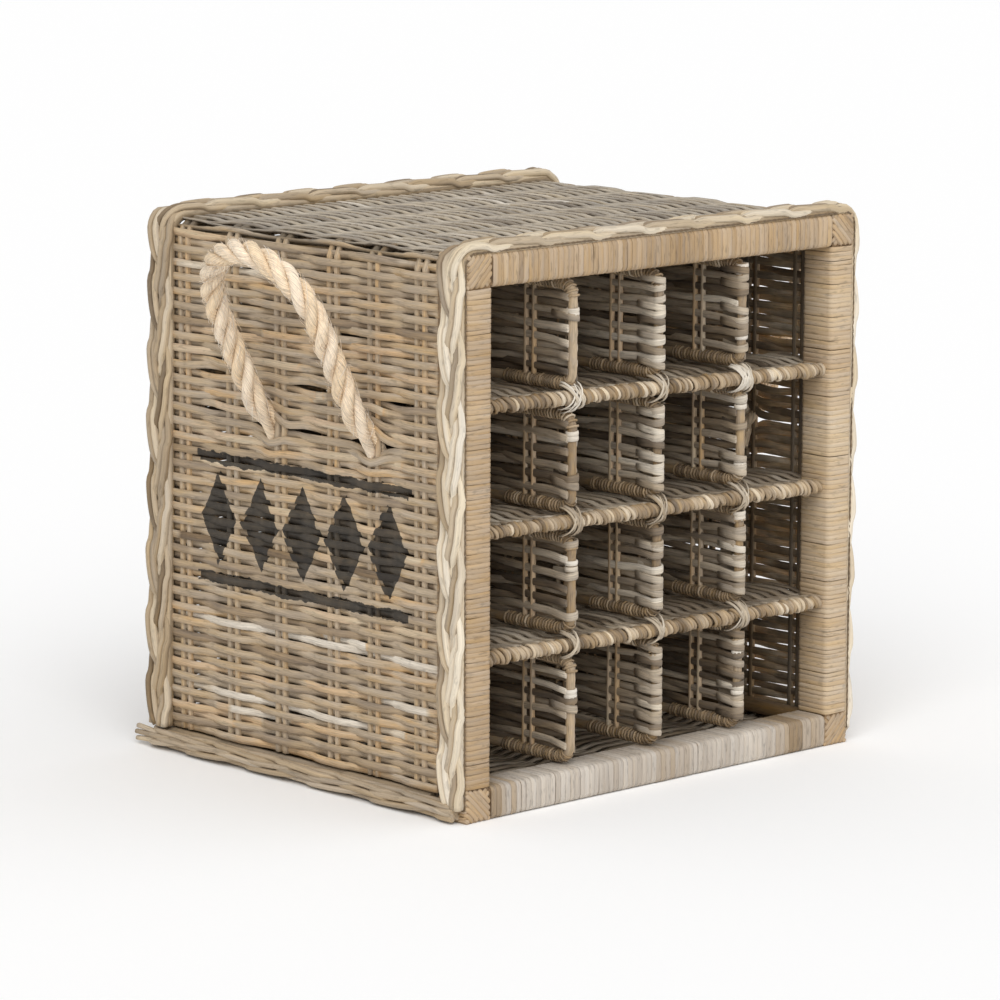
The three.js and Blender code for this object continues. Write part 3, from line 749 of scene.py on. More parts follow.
# %% Weave helpers
WEAVER_WIDTH = 6.9
WEAVER_THICKNESS = 2.2
STAKE_DIAMETER = 6.2
STAKE_OUT = 0.6  # stakes lie this far outside the middle of the weave
PALEST = 0.88  # tone of the palest common weaver
FLAT = 0.3  # height of a weaver between two pairs, as a share of its rise
UNDER = -0.25  # and where it goes behind a pair
RISE_FROM, RISE_LENGTH = 0.2, 0.6  # where the rise starts and how fast it is, on a cosine
STAKE_GAP = 9.0  # between the middles of a pair
RIPPLE = (0.6, 2.3)  # height and speed of the second wave in a drift
weaver_outline = cane_outline(WEAVER_WIDTH, WEAVER_THICKNESS, 6, 0.55)
stake_outline = round_outline(STAKE_DIAMETER, 6)


def weave_height(places, pairs, row):
    """Height of a weaver at places along its run, as a share of its rise."""
    stations = [2 * pairs[0] - pairs[1], *pairs, 2 * pairs[-1] - pairs[-2]]
    turn = np.interp(places, stations, np.arange(-1, len(pairs) + 1))
    near = np.cos(np.pi * (turn + row))
    rise, sink = (np.clip((sign * near - RISE_FROM) / RISE_LENGTH, 0, 1) for sign in (1, -1))
    return FLAT + (1 - FLAT) * rise ** 2 * (3 - 2 * rise) + (UNDER - FLAT) * sink


def wander(places, amount, length):
    """A slow, smooth drift to one side and the other."""
    start = chance.uniform(0, FULL_TURN, 2)
    turn = places / length
    return amount * (np.sin(turn + start[0]) + RIPPLE[0] * np.sin(RIPPLE[1] * turn + start[1]))


def weaver_girth(places):
    """Every cane is a little thicker or thinner than its neighbour and changes along its run."""
    return chance.uniform(0.9, 1.03) + wander(places, 0.02, 30)


def spliced(places, middle=0.5, spread=0.2):
    """Tone along a row: a cane runs out and the next one, a little different, takes over."""
    joints = np.sort(chance.uniform(places[0], places[-1], 2))
    shades = [min(tone(middle, spread), PALEST) for _ in range(3)]
    return np.array(shades)[np.searchsorted(joints, places)]


def pair_places(pairs):
    return [pair + side * STAKE_GAP / 2 + chance.normal(0, 0.3)
            for pair in pairs for side in (-1, 1)]


def evenly(low, high, pitch):
    return np.linspace(low + pitch / 2, high - pitch / 2, round((high - low) / pitch))


print("height over five pairs:", weave_height(np.arange(5.0), np.arange(5.0), 0))

# %% [markdown]
# ## The sleeve: left side, top and right side
# One weave goes up the left side, over the top and down the right side, because its stakes are
# bent over the poles. Rows of weavers therefore sit along an arch. The arch line gives the place
# and the outward direction of every row, and the same line gives the stakes. Rows are pushed apart
# where the rope was forced through, and between some pairs beside it, where daylight shows. A few
# lengths low on the left wall are bleached nearly white: height, and from where to where.
# The rack has settled backwards: its rear edge leans out towards the foot.

# %% Sleeve
ROW_PITCH = 5.95
ROW_POINTS = 54
ROW_JUMP, ROW_DRIFT, DRIFT_LENGTH = 0.25, 0.5, 45  # rows lie a little off, and wander slowly
FRONT_SHORT, REAR_SHORT = 1, 2  # rows end this far inside the edges
SLEEVE_PAIRS = [-139, -84, -36, 28, 88, 148]
STAKE_STEP = 7.0
EDGE_DIAMETER, EDGE_TONE = 6.0, 0.2  # of the rod that closes the weave in front and behind
ROPE_HOLE_DROP = 10  # middle of a rope hole below the swing line
# A parting of the rows has a half length, a reach and a fade. Slits are at a depth and a height.
ROPE_HOLE = {"left": (13, 9.5, 18), "right": (9.5, 9.0, 18)}
SLIT = {"left": (19, 3.0, 7), "right": (12, 1.5, 6)}
SLITS = {
    "left": [(-7, 325), (-3, 291), (-83, 290), (-112, 322), (116, 324), (112, 293)],
    "right": [(-86, 377), (-138, 368), (-118, 335), (-124, 319), (-112, 292), (-145, 286)],
}
BLEACHED = [(120, -165, 160), (126, -80, -20), (57, -80, 115), (45, 20, 90), (80, -150, -90)]
BLEACHED_TONE = 0.97
ROOF_RISE = 0.6  # the roof was beaten flatter than the walls
EDGE_OVER = (16, 0.85)  # rows go over the edge rod: from how far behind, and how high
REAR_LEAN = 4.0  # at the foot and, the other way, at the top
BEND_RADIUS = 17.3  # outside of the sleeve round the top rails


def arch_line(half, top, foot, radius, step):
    """Up the left, over the top and down the right: places across, heights and heading."""
    straight = top - radius - foot
    bend = radius * QUARTER
    across = 2 * (half - radius)
    total = 2 * (straight + bend) + across
    along = np.linspace(0, total, round(total / step) + 1)
    first = np.clip((along - straight) / bend, 0, 1) * QUARTER
    second = np.clip((along - straight - bend - across) / bend, 0, 1) * QUARTER
    over = np.clip(along - straight - bend, 0, across)
    down = np.clip(along - straight - 2 * bend - across, 0, straight)
    x = -half + radius * (1 - np.cos(first)) + over + radius * np.sin(second)
    z = foot + np.clip(along, 0, straight) + radius * (np.sin(first) - 1 + np.cos(second)) - down
    return x, z, first + second


def parted(y, height, gaps):
    """How far a row moves up or down beside gaps in the weave."""
    shift_up = np.zeros(len(y))
    for middle, level, (half, most, fade) in gaps:
        away = height - level
        shift_up += np.sign(away) * most * np.exp(-((y - middle) / half) ** 2 - abs(away) / fade)
    return shift_up


low, high, _, _ = box_of("body_weave")
RACK_TOP = high[2]


def rear_lean(z):
    return REAR_LEAN * (1 - 2 * z / RACK_TOP)


gaps = {}
for side, swing_z in SWING_Z.items():
    gaps[side] = [(HANDLE_Y + step * HANDLE_SPACING / 2, swing_z - ROPE_HOLE_DROP, ROPE_HOLE[side])
                  for step in (-1, 1)]
    gaps[side] += [(middle, level, SLIT[side]) for middle, level in SLITS[side]]
thickness = box_of("back_weave").size[1]
mid_half, mid_top, mid_radius = (out - thickness / 2 for out in (high[0], high[2], BEND_RADIUS))
reach = (thickness - WEAVER_THICKNESS) / 2
row_x, row_z, heading = arch_line(mid_half, mid_top, low[2] + ROW_PITCH / 2, mid_radius, ROW_PITCH)
walls, roof = [], []
for row, (x, z, turned) in enumerate(zip(row_x, row_z, heading)):
    y = np.linspace(low[1] + FRONT_SHORT, high[1] - REAR_SHORT + rear_lean(z), ROW_POINTS)
    over_edge = EDGE_OVER[1] * np.interp(y - low[1], [0, EDGE_OVER[0]], [1, 0])
    lying = abs(turned - QUARTER) < QUARTER / 2
    out = reach * np.maximum(weave_height(y, SLEEVE_PAIRS, row), over_edge)
    if lying:
        out = ROOF_RISE * out + (1 - ROOF_RISE) * FLAT * reach
    drift = chance.normal(0, ROW_JUMP) + wander(y, ROW_DRIFT, DRIFT_LENGTH)
    shade = spliced(y, 0.5, 0.17)
    for height, first, last in BLEACHED:
        if x < 0 and abs(z - height) < ROW_PITCH / 2:
            shade[(y > first) & (y < last)] = BLEACHED_TONE
    if z < mid_top - mid_radius:
        drift = drift + parted(y, z, gaps["left" if x < 0 else "right"]) * np.cos(turned)
    points = line(x - out * math.cos(turned) + drift * math.sin(turned), y,
                  z + out * math.sin(turned) + drift * math.cos(turned))
    (roof if lying else walls).append(Strand(points, QUARTER - turned, weaver_girth(y), shade))
x, z, _ = arch_line(mid_half + STAKE_OUT, mid_top + STAKE_OUT, low[2], mid_radius + STAKE_OUT,
                    STAKE_STEP)
stakes = [Strand(line(x, place, z), 0.0, chance.uniform(0.9, 1.05), tone(0.55, 0.12))
          for place in pair_places(SLEEVE_PAIRS)]
edges = [Strand(line(x, place, z), tone=EDGE_TONE)
         for place in (low[1] + EDGE_DIAMETER / 2, high[1] - EDGE_DIAMETER / 2)]
make_piece("body_wicker", [
    (wind(walls, weaver_outline, "Z_UP"), wall_wicker),
    (wind(roof, weaver_outline, "Z_UP"), roof_wicker),
    (wind(stakes, stake_outline), wall_wicker),
    (wind(edges, round_outline(EDGE_DIAMETER, 8)), wicker)], ["body_weave"])
print("rows on the walls and on the roof:", len(walls), len(roof))

# %% [markdown]
# ## Painted band
# Black stencil paint on the outside of the left wall makes a row of lozenges between two lines.
# It is drawn from Object coordinates: height and depth give the pattern, and the paint only
# reaches strands that lie outside and face outwards. Noise wears the edges, because brush and
# stencil never reach into the gaps of a weave. Every sum is one row of a list: the name of the
# result, the operation and its terms, which are numbers or names of earlier results.

# %% Painted band
BAND_MIDDLE_Z, BAND_HALF = 204, 50  # the two lines are this far above and below the middle
BAND_MIDDLE_Y, BAND_LENGTH = 1, 258
LOZENGES = 5
LOZENGE_WIDTH, LOZENGE_HEIGHT = 46, 78
RULE = 9  # height of the two lines
PAINT_X = -212.0  # the brush reaches no further in than this
PAINT_FACING = 0.15  # it keeps to surfaces that turn no further inwards than this
EDGE_WEAR, WEAR_SIZE = 7, 9  # how far edges are worn, and the size of the worn spots
THINNEST = 0.8  # cover of the paint where it is worn
INSIDE, INSIDE_PAINTED_SHADE = (211.5, 214.5), 0.33  # painted shade: from the dark inner side to the outer side of a wall, and how dark the inner side is made
CELL = BAND_LENGTH / LOZENGES
SUMS = [
    # Wear as a length, distance aside from the nearest lozenge, height off the band's middle.
    ("wear_and_painted_shading", "MULTIPLY_ADD", "wear", EDGE_WEAR * MM, -EDGE_WEAR / 2 * MM),
    ("start", "SUBTRACT", "y", (BAND_MIDDLE_Y - BAND_LENGTH / 2) * MM),
    ("to_edge", "PINGPONG", "start", CELL / 2 * MM),
    ("aside", "SUBTRACT", CELL / 2 * MM, "to_edge"),
    ("height", "SUBTRACT", "z", BAND_MIDDLE_Z * MM),
    ("off", "ABSOLUTE", "height"),
    # A lozenge is where both together are small, a line is at its own height.
    ("sum", "MULTIPLY_ADD", "aside", LOZENGE_HEIGHT / LOZENGE_WIDTH, "off"),
    ("worn_sum", "ADD", "sum", "wear_and_painted_shading"),
    ("lozenge", "LESS_THAN", "worn_sum", LOZENGE_HEIGHT / 2 * MM),
    ("from_line", "SUBTRACT", "off", BAND_HALF * MM),
    ("line_off", "ABSOLUTE", "from_line"),
    ("worn_line", "ADD", "line_off", "wear_and_painted_shading"),
    ("line", "LESS_THAN", "worn_line", RULE / 2 * MM),
    ("shape", "MAXIMUM", "lozenge", "line"),
    # The paint ends with the band and keeps to the outside of the left wall.
    ("from_middle", "SUBTRACT", "y", BAND_MIDDLE_Y * MM),
    ("along", "ABSOLUTE", "from_middle"),
    ("within", "LESS_THAN", "along", BAND_LENGTH / 2 * MM),
    ("outside", "LESS_THAN", "x", PAINT_X * MM),
    ("outwards", "LESS_THAN", "facing", PAINT_FACING),
    ("ended", "MULTIPLY", "shape", "within"),
    ("left_only", "MULTIPLY", "ended", "outside"),
    ("painted", "MULTIPLY", "left_only", "outwards"),
    ("cover", "MULTIPLY", "painted", "thin"),
    ("depth", "ABSOLUTE", "x"),
]

tree = wall_wicker.node_tree
shader = next(node for node in tree.nodes if node.type == "BSDF_PRINCIPLED")
bare = shader.inputs["Base Color"].links[0].from_socket
room = add_node(tree, "TexCoord").outputs["Object"]
here = add_node(tree, "SeparateXYZ", {0: room})
surface = add_node(tree, "NewGeometry")
facing = add_node(tree, "SeparateXYZ", {0: surface.outputs["Normal"]})
wear = add_node(tree, "TexNoise", {"Vector": room, "Scale": 1 / (WEAR_SIZE * MM), "Detail": 3.0})
thin = add_node(tree, "MapRange", {"Value": wear, "To Min": 1.0, "To Max": THINNEST})
results = {"x": here.outputs["X"], "y": here.outputs["Y"], "z": here.outputs["Z"],
           "facing": facing.outputs["X"], "wear": wear, "thin": thin}
for name, operation, *terms in SUMS:
    inputs = {number: results.get(term, term) for number, term in enumerate(terms)}
    results[name] = add_node(tree, "Math", inputs, operation=operation)
colour = add_node(tree, "Mix", {"Factor": results["cover"], 6: bare, 7: to_linear("#0e0d0c")},
                  data_type="RGBA")
# Painted shade: the inner side of the walls is made darker, for the shade inside the rack.
inner_painted_shade = add_node(tree, "MapRange", {
    "Value": results["depth"], "From Min": INSIDE[0] * MM, "From Max": INSIDE[1] * MM,
    "To Min": INSIDE_PAINTED_SHADE, "To Max": 1.0})
colour = add_node(tree, "HueSaturation", {"Color": colour.outputs[2], "Value": inner_painted_shade})
tree.links.new(colour.outputs["Color"], shader.inputs["Base Color"])
print("painted band:", BAND_LENGTH, "mm long,", LOZENGES, "lozenges")

# %% [markdown]
# ## Back, floor and shelf decks
# These are flat panels of the same weave. A panel is woven upright, with its weavers along Y and
# its rows up Z, so that the flat canes never run vertically, and is then turned into its place.

# %% Flat panels
PANEL_POINTS, PANEL_STAKE_POINTS = 52, 24
PANEL_DRIFT = 0.3
CORNER_CUT = 8.0  # the top corners of the back are rounded off below this height
BACK_PAIRS = [-165, -99, -33, 33, 99, 165]
AXES = {  # where the panel's own out, along and across point
    "back": Matrix(((0, 1, 0, 0), (-1, 0, 0, 0), (0, 0, 1, 0), (0, 0, 0, 1))),
    "floor": Matrix(((0, 1, 0, 0), (0, 0, 1, 0), (1, 0, 0, 0), (0, 0, 0, 1))),
    "deck": Matrix(((0, 0, -1, 0), (0, 1, 0, 0), (1, 0, 0, 0), (0, 0, 0, 1))),
}


def panel(name, rows, run, pairs, place, node, thickness, finish=inner_wicker, first_row=0):
    """rows: (place across, start, end) of each weaver; run: ends of the stakes across the rows."""
    reach = (thickness - WEAVER_THICKNESS) / 2
    weavers = []
    for row, (across, start, end) in enumerate(rows, first_row):
        y = np.linspace(start, end, PANEL_POINTS)
        height = reach * weave_height(y, pairs, row)
        drift = chance.normal(0, ROW_JUMP) + wander(y, PANEL_DRIFT, DRIFT_LENGTH)
        weavers.append(Strand(line(height, y, across + drift), QUARTER, weaver_girth(y), spliced(y)))
    z = np.linspace(*run, PANEL_STAKE_POINTS)
    stakes = [Strand(line(STAKE_OUT, at, z), 0.0, chance.uniform(0.85, 1.0), tone(0.6))
              for at in pair_places(pairs)]
    meshes = [wind(weavers, weaver_outline, "Z_UP"), wind(stakes, stake_outline)]
    for mesh in meshes:
        mesh.transform(place)
    make_piece(name, [(mesh, finish) for mesh in meshes], [node])


low, high, size, middle = box_of("back_weave")
rows = []
for z in evenly(low[2], high[2], ROW_PITCH):
    cut = max(0, z - high[2] + CORNER_CUT) / 2
    rows.append((z, low[0] + cut, high[0] - cut))
panel("back_wicker", rows, (low[2], high[2]), BACK_PAIRS, shift(0, middle[1], 0) @ AXES["back"],
      "back_weave", size[1], wicker, first_row=1)
low, high, size, middle = box_of("floor_weave")
rows = [(y, low[0], high[0]) for y in evenly(low[1], high[1], ROW_PITCH)]
panel("floor_wicker", rows, (low[1], high[1]), BACK_PAIRS, shift(0, 0, middle[2]) @ AXES["floor"],
      "floor_weave", size[2])

# %% [markdown]
# ## Shelves
# Each shelf is a woven deck behind a rod, and the rod is bound with thin cane that stands out in
# uneven beads. The deck is notched round the posts of the front frame and the rear posts, so the
# rows near its ends start further back and stop sooner. No shelf of the real rack is level: each
# one is sheared by a few millimetres from one end to the other.

# %% Shelves
BEAD_PITCH, BEAD_WIDTH, BEAD_HEIGHT = 3.3, 3.7, 3.0
BEAD_SLANT = 0.5
BEADS_ALIKE = 4
STICK_SPARE, STICK_TONE = 1, 0.2  # how much thicker the stick is than the hole in its beads
SHELF_PAIRS = [-128, -66, -4, 58, 120]
SHELF_RISE = {1: (4.0, -4.0), 2: (3.0, -3.5), 3: (1.5, -3.0)}  # at the left and the right end
bead_outline = cane_outline(BEAD_WIDTH, BEAD_HEIGHT, 8, 1.0)
deck_front = box_of("body_weave").low[1]
post_inside = box_of("rear_right_post").low


def beads(length, diameter):
    """Rings of binding cane round an upright rod on the origin."""
    turn = round_turn(12)
    places = evenly(-length / 2, length / 2, BEAD_PITCH)
    rings = []
    for place, shade in zip(places, grouped_tones(len(places), BEADS_ALIKE, 0.16, 0.2)):
        ring = (diameter - BEAD_HEIGHT) / 2 + chance.normal(0, 0.6)
        x, y = ring * np.cos(turn), ring * np.sin(turn)
        z = place + chance.normal(0, 0.5) + (BEAD_SLANT + chance.normal(0, 0.2)) * x
        rings.append(Strand(line(x, y, z), QUARTER, chance.uniform(0.8, 1.1), shade, True))
    return rings


def shelf_lift(number, x):
    """How far a shelf stands above or below its level place, x along it."""
    left, right = SHELF_RISE[number]
    half = box_of(f"shelf_{number}_rod").high[0]
    return (left + right) / 2 + (right - left) / 2 * x / half


for number in (1, 2, 3):
    _, _, size, middle = box_of(f"shelf_{number}_rod")
    half = size[0] / 2
    middle_lift = shelf_lift(number, 0)
    slope = (shelf_lift(number, half) - middle_lift) / half
    shear = Matrix(((1, 0, 0, 0), (0, 1, 0, 0), (slope, 0, 1, middle_lift * MM), (0, 0, 0, 1)))
    stick = Strand(np.array([[0, 0, -half], [0, 0, half]]), tone=STICK_TONE)
    core = wind([stick], round_outline(size[2] - 2 * BEAD_HEIGHT + STICK_SPARE, 8))
    bound = wind(beads(size[0], size[2]), bead_outline, "Z_UP")
    for mesh in (core, bound):
        mesh.transform(shear @ (shift(*middle) @ LAID_ALONG_X))
    make_piece(f"shelf_{number}_rim", [(core, rim_cane), (bound, rim_cane)],
               [f"shelf_{number}_rod"])

    low, high, size, middle = box_of(f"shelf_{number}_deck")
    rows = []
    for x in evenly(low[0], high[0], ROW_PITCH):
        start = low[1] if abs(x) < half else deck_front
        end = high[1] if abs(x) < post_inside[0] else post_inside[1]
        rows.append((x, start, end))
    panel(f"shelf_{number}_wicker", rows, (low[0], high[0]), SHELF_PAIRS,
          shear @ shift(0, 0, middle[2]) @ AXES["deck"], f"shelf_{number}_deck", size[2])

# %% [markdown]
# ## Dividers
# A divider is a rod bent into a rounded rectangle and filled with weavers. At the front a weaver
# either stops behind the rod, or goes round it and comes back on the other side, which gives a row
# of pale beads. The first column shows mostly bare rod, the second mostly beads, the third both.
# One line does both: a short return, a half turn round the rod, then the run through the stakes.
# Weavers are made paler at the front of the cell and darker deeper in: painted light and painted
# shade. Thin cane binds the rod behind its bends, darker on the lower run as painted shade, and pale
# collars sit on a few.

# %% Dividers
ROD_DIAMETER = 8.0
ROW_HEIGHT = 6.0
BROAD_WIDTH, BROAD_THICKNESS = 6.7, 2.2
DIVIDER_STAKE = 4.6
SPARE_SIDE, UNDER_ROD = 1.2, 1.5  # weavers keep inside the solid, and the outer rows go under the rod
WRAP_GRIP = 0.2  # how deep a weaver is pressed into the rod
RETURN_LENGTH = 22
RETURN_ASIDE = (0.4, 0.85)  # of its two points, as shares of the weave and of the wrap
RUN_FROM, RUN_EASE, RUN_POINTS = 12, 30, 42  # behind the rod: where the run starts, and is woven in
WRAP_FALL = ([0, 2, 8, 10], [2.6, 1.6, -0.6, 0])  # points of the line, and how far above their row
BROAD_STRAY = (0.7, 0.9, 34)  # spread of the rows, and how far and over what length one wanders
WRAPPED = {1: 0.15, 2: 0.95, 3: 0.6}  # share of the weavers that go round the rod, by column
COLLARS = {1: (0.72,), 2: (), 3: (0.35, 0.8)}  # heights of pale collars, as a share of the rod
COLLAR_OUT, COLLAR_STRAY = 0.7, 0.12  # off the rod, and up or down as a share of its height
COLLAR_HALF = 2.0  # half the distance of the two turns
DEPTH_LIGHT_AND_SHADE = ([-6, 24, 90], [0.16, 0.02, -0.1])  # painted light at the front and painted shade deeper in: behind the front, and how much paler
DIVIDER_TONE = {1: 0.34, 2: 0.56, 3: 0.4}  # the middle ones are woven of the palest cane
DIVIDER_CORNER = 14
BARE_FROM, BARE_TO = 0.4, 0.7  # the upright is bare but for these shares of a corner, below and above
DIVIDER_PAIRS = [-137, -76, -15, 46, 107]
THIN_PITCH, THIN_DIAMETER = 3.4, 1.8
BOUND_LENGTH = 74  # of the upper and the lower rod, behind the front
broad_outline = cane_outline(BROAD_WIDTH, BROAD_THICKNESS, 8)
collar_outline = cane_outline(4.4, 1.6, 6)
divider_stake_outline = round_outline(DIVIDER_STAKE, 6)
rod_outline = round_outline(ROD_DIAMETER, 8)
thin_outline = round_outline(THIN_DIAMETER, 5)


def divider_weaver(front, end, z, row, reach, wrapped):
    """Round the front rod and back through the stakes; front is the middle of the rod."""
    side = 1 if row % 2 == 0 else -1
    wrap = ROD_DIAMETER / 2 + BROAD_THICKNESS / 2 - WRAP_GRIP
    turn = np.linspace(-QUARTER, QUARTER, 7)
    back_y = np.array([front + RETURN_LENGTH, front + RETURN_LENGTH * 0.5])
    back_x = -side * np.array([reach * RETURN_ASIDE[0], wrap * RETURN_ASIDE[1]])
    round_x, round_y = side * wrap * np.sin(turn), front - wrap * np.cos(turn)
    run_y = np.linspace(front + RUN_FROM, end, RUN_POINTS)
    ease = np.clip((run_y - front) / RUN_EASE, 0, 1)
    run_x = (1 - ease) * side * wrap + ease * reach * weave_height(run_y, DIVIDER_PAIRS, row)
    x = np.concatenate([back_x, round_x, run_x])
    y = np.concatenate([back_y, round_y, run_y])
    fall = np.interp(np.arange(len(x)), *WRAP_FALL)
    points = line(x, y, z + fall + chance.normal(0, BROAD_STRAY[0]) + wander(y, *BROAD_STRAY[1:]))
    return points if wrapped else points[len(back_x) + len(round_x) - 1:]


def rod_ring(y0, y1, z0, z1, radius):
    """Middle line of the bent rod, from the middle of the back edge round."""
    bends = [(y1 - radius, z1 - radius, 0), (y0 + radius, z1 - radius, 1),
             (y0 + radius, z0 + radius, 2), (y1 - radius, z0 + radius, 3)]
    points = []
    for y, z, quarter in bends:
        for turn in np.linspace(quarter, quarter + 1, 6) * QUARTER:
            points.append((0, y + radius * math.cos(turn), z + radius * math.sin(turn)))
    return np.array(points)


def thin_binding(ring, y_front):
    """Thin rings round the rod, along the front of its upper and lower runs and its bends."""
    route = even_steps(np.concatenate([ring, ring[:1]]), THIN_PITCH)
    turn = round_turn(8)
    grip = (ROD_DIAMETER + THIN_DIAMETER) / 2
    low, high = route[:, 2].min(), route[:, 2].max()
    rings = []
    for spot, first, second in zip(route, *carried_frame(route)):
        upright = low + DIVIDER_CORNER * BARE_FROM < spot[2] < high - DIVIDER_CORNER * BARE_TO
        if upright or spot[1] > y_front + BOUND_LENGTH:
            continue
        points = spot + grip * round_about(turn, first, second) + chance.normal(0, 0.12, 3)
        # Painted shade: rings on the lower run are made darker, for the shade low in the cell.
        shade = tone(0.45) if spot[2] > (low + high) / 2 else tone(0.25)
        rings.append(Strand(points, 0.0, chance.uniform(0.9, 1.2), shade, True))
    return rings


def collars(column, front, z0, z1):
    """Pairs of pale turns round the front rod."""
    turn = round_turn(10)
    grip = ROD_DIAMETER / 2 + COLLAR_OUT
    x, y = grip * np.cos(turn), front + grip * np.sin(turn)
    rings = []
    for share in COLLARS[column]:
        middle = z0 + (share + chance.uniform(-COLLAR_STRAY, COLLAR_STRAY)) * (z1 - z0)
        for step in (-COLLAR_HALF, COLLAR_HALF):
            z = middle + step + chance.normal(0, 0.3) + 0.08 * x
            rings.append(Strand(line(x, y, z), QUARTER, tone=tone(0.8, 0.1), closed=True))
    return rings


def divider(node, column):
    low, high, size, middle = box_of(node)
    inset = ROD_DIAMETER / 2 + THIN_DIAMETER
    front, rear = low[1] + inset, high[1] - inset
    ring = rod_ring(front, rear, low[2] + inset, high[2] - inset, DIVIDER_CORNER - inset / 2)
    reach = (size[0] - BROAD_THICKNESS) / 2 - SPARE_SIDE
    edge = inset + ROD_DIAMETER / 2 - UNDER_ROD
    weavers = []
    for row, z in enumerate(evenly(low[2] + edge, high[2] - edge, ROW_HEIGHT)):
        wrapped = chance.random() < WRAPPED[column]
        points = divider_weaver(front, rear, z, row, reach, wrapped)
        # Painted light and shade: paler at the front of the cell, darker deeper in.
        wear_and_painted_shading = np.interp(points[:, 1] - front, *DEPTH_LIGHT_AND_SHADE)
        weavers.append(Strand(points, QUARTER, chance.uniform(0.8, 1.05),
                              tone(DIVIDER_TONE[column], 0.26) + wear_and_painted_shading))
    z = np.linspace(low[2] + inset, high[2] - inset, 12)
    stakes = [Strand(line(0, at, z), tone=tone(0.7, 0.1)) for at in pair_places(DIVIDER_PAIRS)]
    wound = [
        (wind(weavers, broad_outline, "Z_UP"), inner_wicker),
        (wind(stakes, divider_stake_outline), wicker),
        (wind([Strand(ring, tone=tone(0.42, 0.12), closed=True)], rod_outline), rim_cane),
        (wind(thin_binding(ring, front), thin_outline), rim_cane)]
    if COLLARS[column]:
        rings = collars(column, front, low[2], high[2])
        wound.append((wind(rings, collar_outline, "Z_UP"), tie_cane))
    for mesh, _ in wound:
        mesh.transform(shift(middle[0], 0, 0))
    make_piece(f"{node}_wicker", wound, [node])


for row in (1, 2, 3, 4):
    for column in (1, 2, 3):
        divider(f"divider_{row}_{column}", column)

# %% [markdown]
# ## Lashings
# Where a shelf rod crosses the dividers, split cane ties them together: a few turns cross the
# front of the rod both ways, and the loose ends stand out a little. Each turn is a short bowed
# line over the crossing.

# %% Lashings
TIE_TURNS = 3
BIG_TIES = {(1, 1): 5, (1, 3): 5, (3, 3): 4}  # shelf and divider where the tie was wound longer
TIE_STEP = 2.0
TIE_DEPTH, TIE_ROUND = 13, 1.05  # how far back a turn goes, and how far round
TIE_ACROSS, TIE_UP = (0.1, 0.32), (0.36, 0.52)  # half size of a turn, as a share of the crossing
TIE_SUNK = (0.4, 2.2)  # behind the front of the crossing
NEW_TIES, NEW_TONE, OLD_TONE = [(1, 1), (1, 3)], 0.75, 0.25
tie_outline = cane_outline(2.4, 1.3, 6)


def tie_turn(middle, half_x, half_z, front_y, slope, offset):
    """One turn over the front, from behind the rod on one side to behind it on the other."""
    turn = np.linspace(-1, 1, 11) * QUARTER
    return line(middle[0] + slope * half_x * np.sin(turn) + offset,
                front_y + TIE_DEPTH * (1 - np.cos(turn * TIE_ROUND)),
                middle[2] + half_z * np.sin(turn))


for row in (1, 2, 3):
    for column in (1, 2, 3):
        node = f"lashing_{row}_{column}"
        low, _, size, middle = box_of(node)
        middle[2] += shelf_lift(row, middle[0])
        count = BIG_TIES.get((row, column), TIE_TURNS)
        age = NEW_TONE if (row, column) in NEW_TIES else OLD_TONE
        turns = []
        for slope in (-1, 1):
            for number in range(count):
                offset = (number - (count - 1) / 2) * TIE_STEP + chance.normal(0, 0.8)
                points = tie_turn(middle, size[0] * chance.uniform(*TIE_ACROSS),
                                  size[2] * chance.uniform(*TIE_UP),
                                  low[1] + chance.uniform(*TIE_SUNK), slope, offset)
                turns.append(Strand(points, 0.0, chance.uniform(0.8, 1.15), tone(age, 0.15)))
        make_piece(f"{node}_turns", [(wind(turns, tie_outline), tie_cane)], [node])

# %% [markdown]
# ## Plaits
# Three strands of two canes each are plaited flat along the edges. In a three-strand plait every
# strand swings from side to side once per repeat, and rises and sinks twice, a third of a repeat
# after its neighbour. The swing is a zigzag whose points are held at the edge until the next strand
# arrives, so the edges stay nearly straight and the runs between them make a row of Vs. A straight
# cane under each edge closes the gaps that are left. The front and rear plaits follow an arch over
# the rack, the foot plait a U round the floor. A thin dark thread sews the front plait to the
# frame, and two canes under the rear plait fill the corner between plait and weave.

# %% Plaits
PLAIT_REPEAT, FOOT_REPEAT = 168, 230
PLAIT_CANE, FOOT_CANE = 6.6, 5.8
PLAIT_LIFT, FOOT_LIFT = 1.8, 2.2  # how far the strands rise and sink
PLAIT_SPILL = 1.4  # how far the canes stand over each edge of the solid
HELD = 1.9  # how long a strand lies along the edge before it turns back
CROSSING = 4.0  # how abruptly a strand changes from above to below
SIDE_BY_SIDE = 0.96  # distance of the two canes of a strand, as a share of a cane
PLAIT_STEP = 4.0
EDGE_IN, EDGE_SUNK, EDGE_GIRTH = 0.66, 1.7, 0.85  # place and thickness of the cane under an edge
DEPTHWISE, UPRIGHT = np.array([0, 1.0, 0]), np.array([0, 0, 1.0])
FRONT_BEND, REAR_BEND = 14.0, 18.0  # radius over the top corners
FRONT_FOOT = 8  # the front plait ends this far below the top of the foot plait
REAR_SHIFT = 2.5  # the rear plait stands out behind
FRONT_SHIFT = -2.8  # the front plait is drawn up to the face of the frame
LINING_IN, LINING_GIRTH, LINING_TONE = 6.6, 1.25, 0.2  # of the canes under the rear plait
SEAM_TWIST, SEAM_CANE = 12, 1.0
SEAM_PLACE = (12.6, 3.2)  # in front of and below the middle of the plait
ROOF_DULL, ROOF_FROM = 0.28, 18  # tone the front plait loses on the roof, and how far below it starts
plait_outline, foot_outline = (cane_outline(cane, cane * 0.86, 8, 0.85)
                               for cane in (PLAIT_CANE, FOOT_CANE))


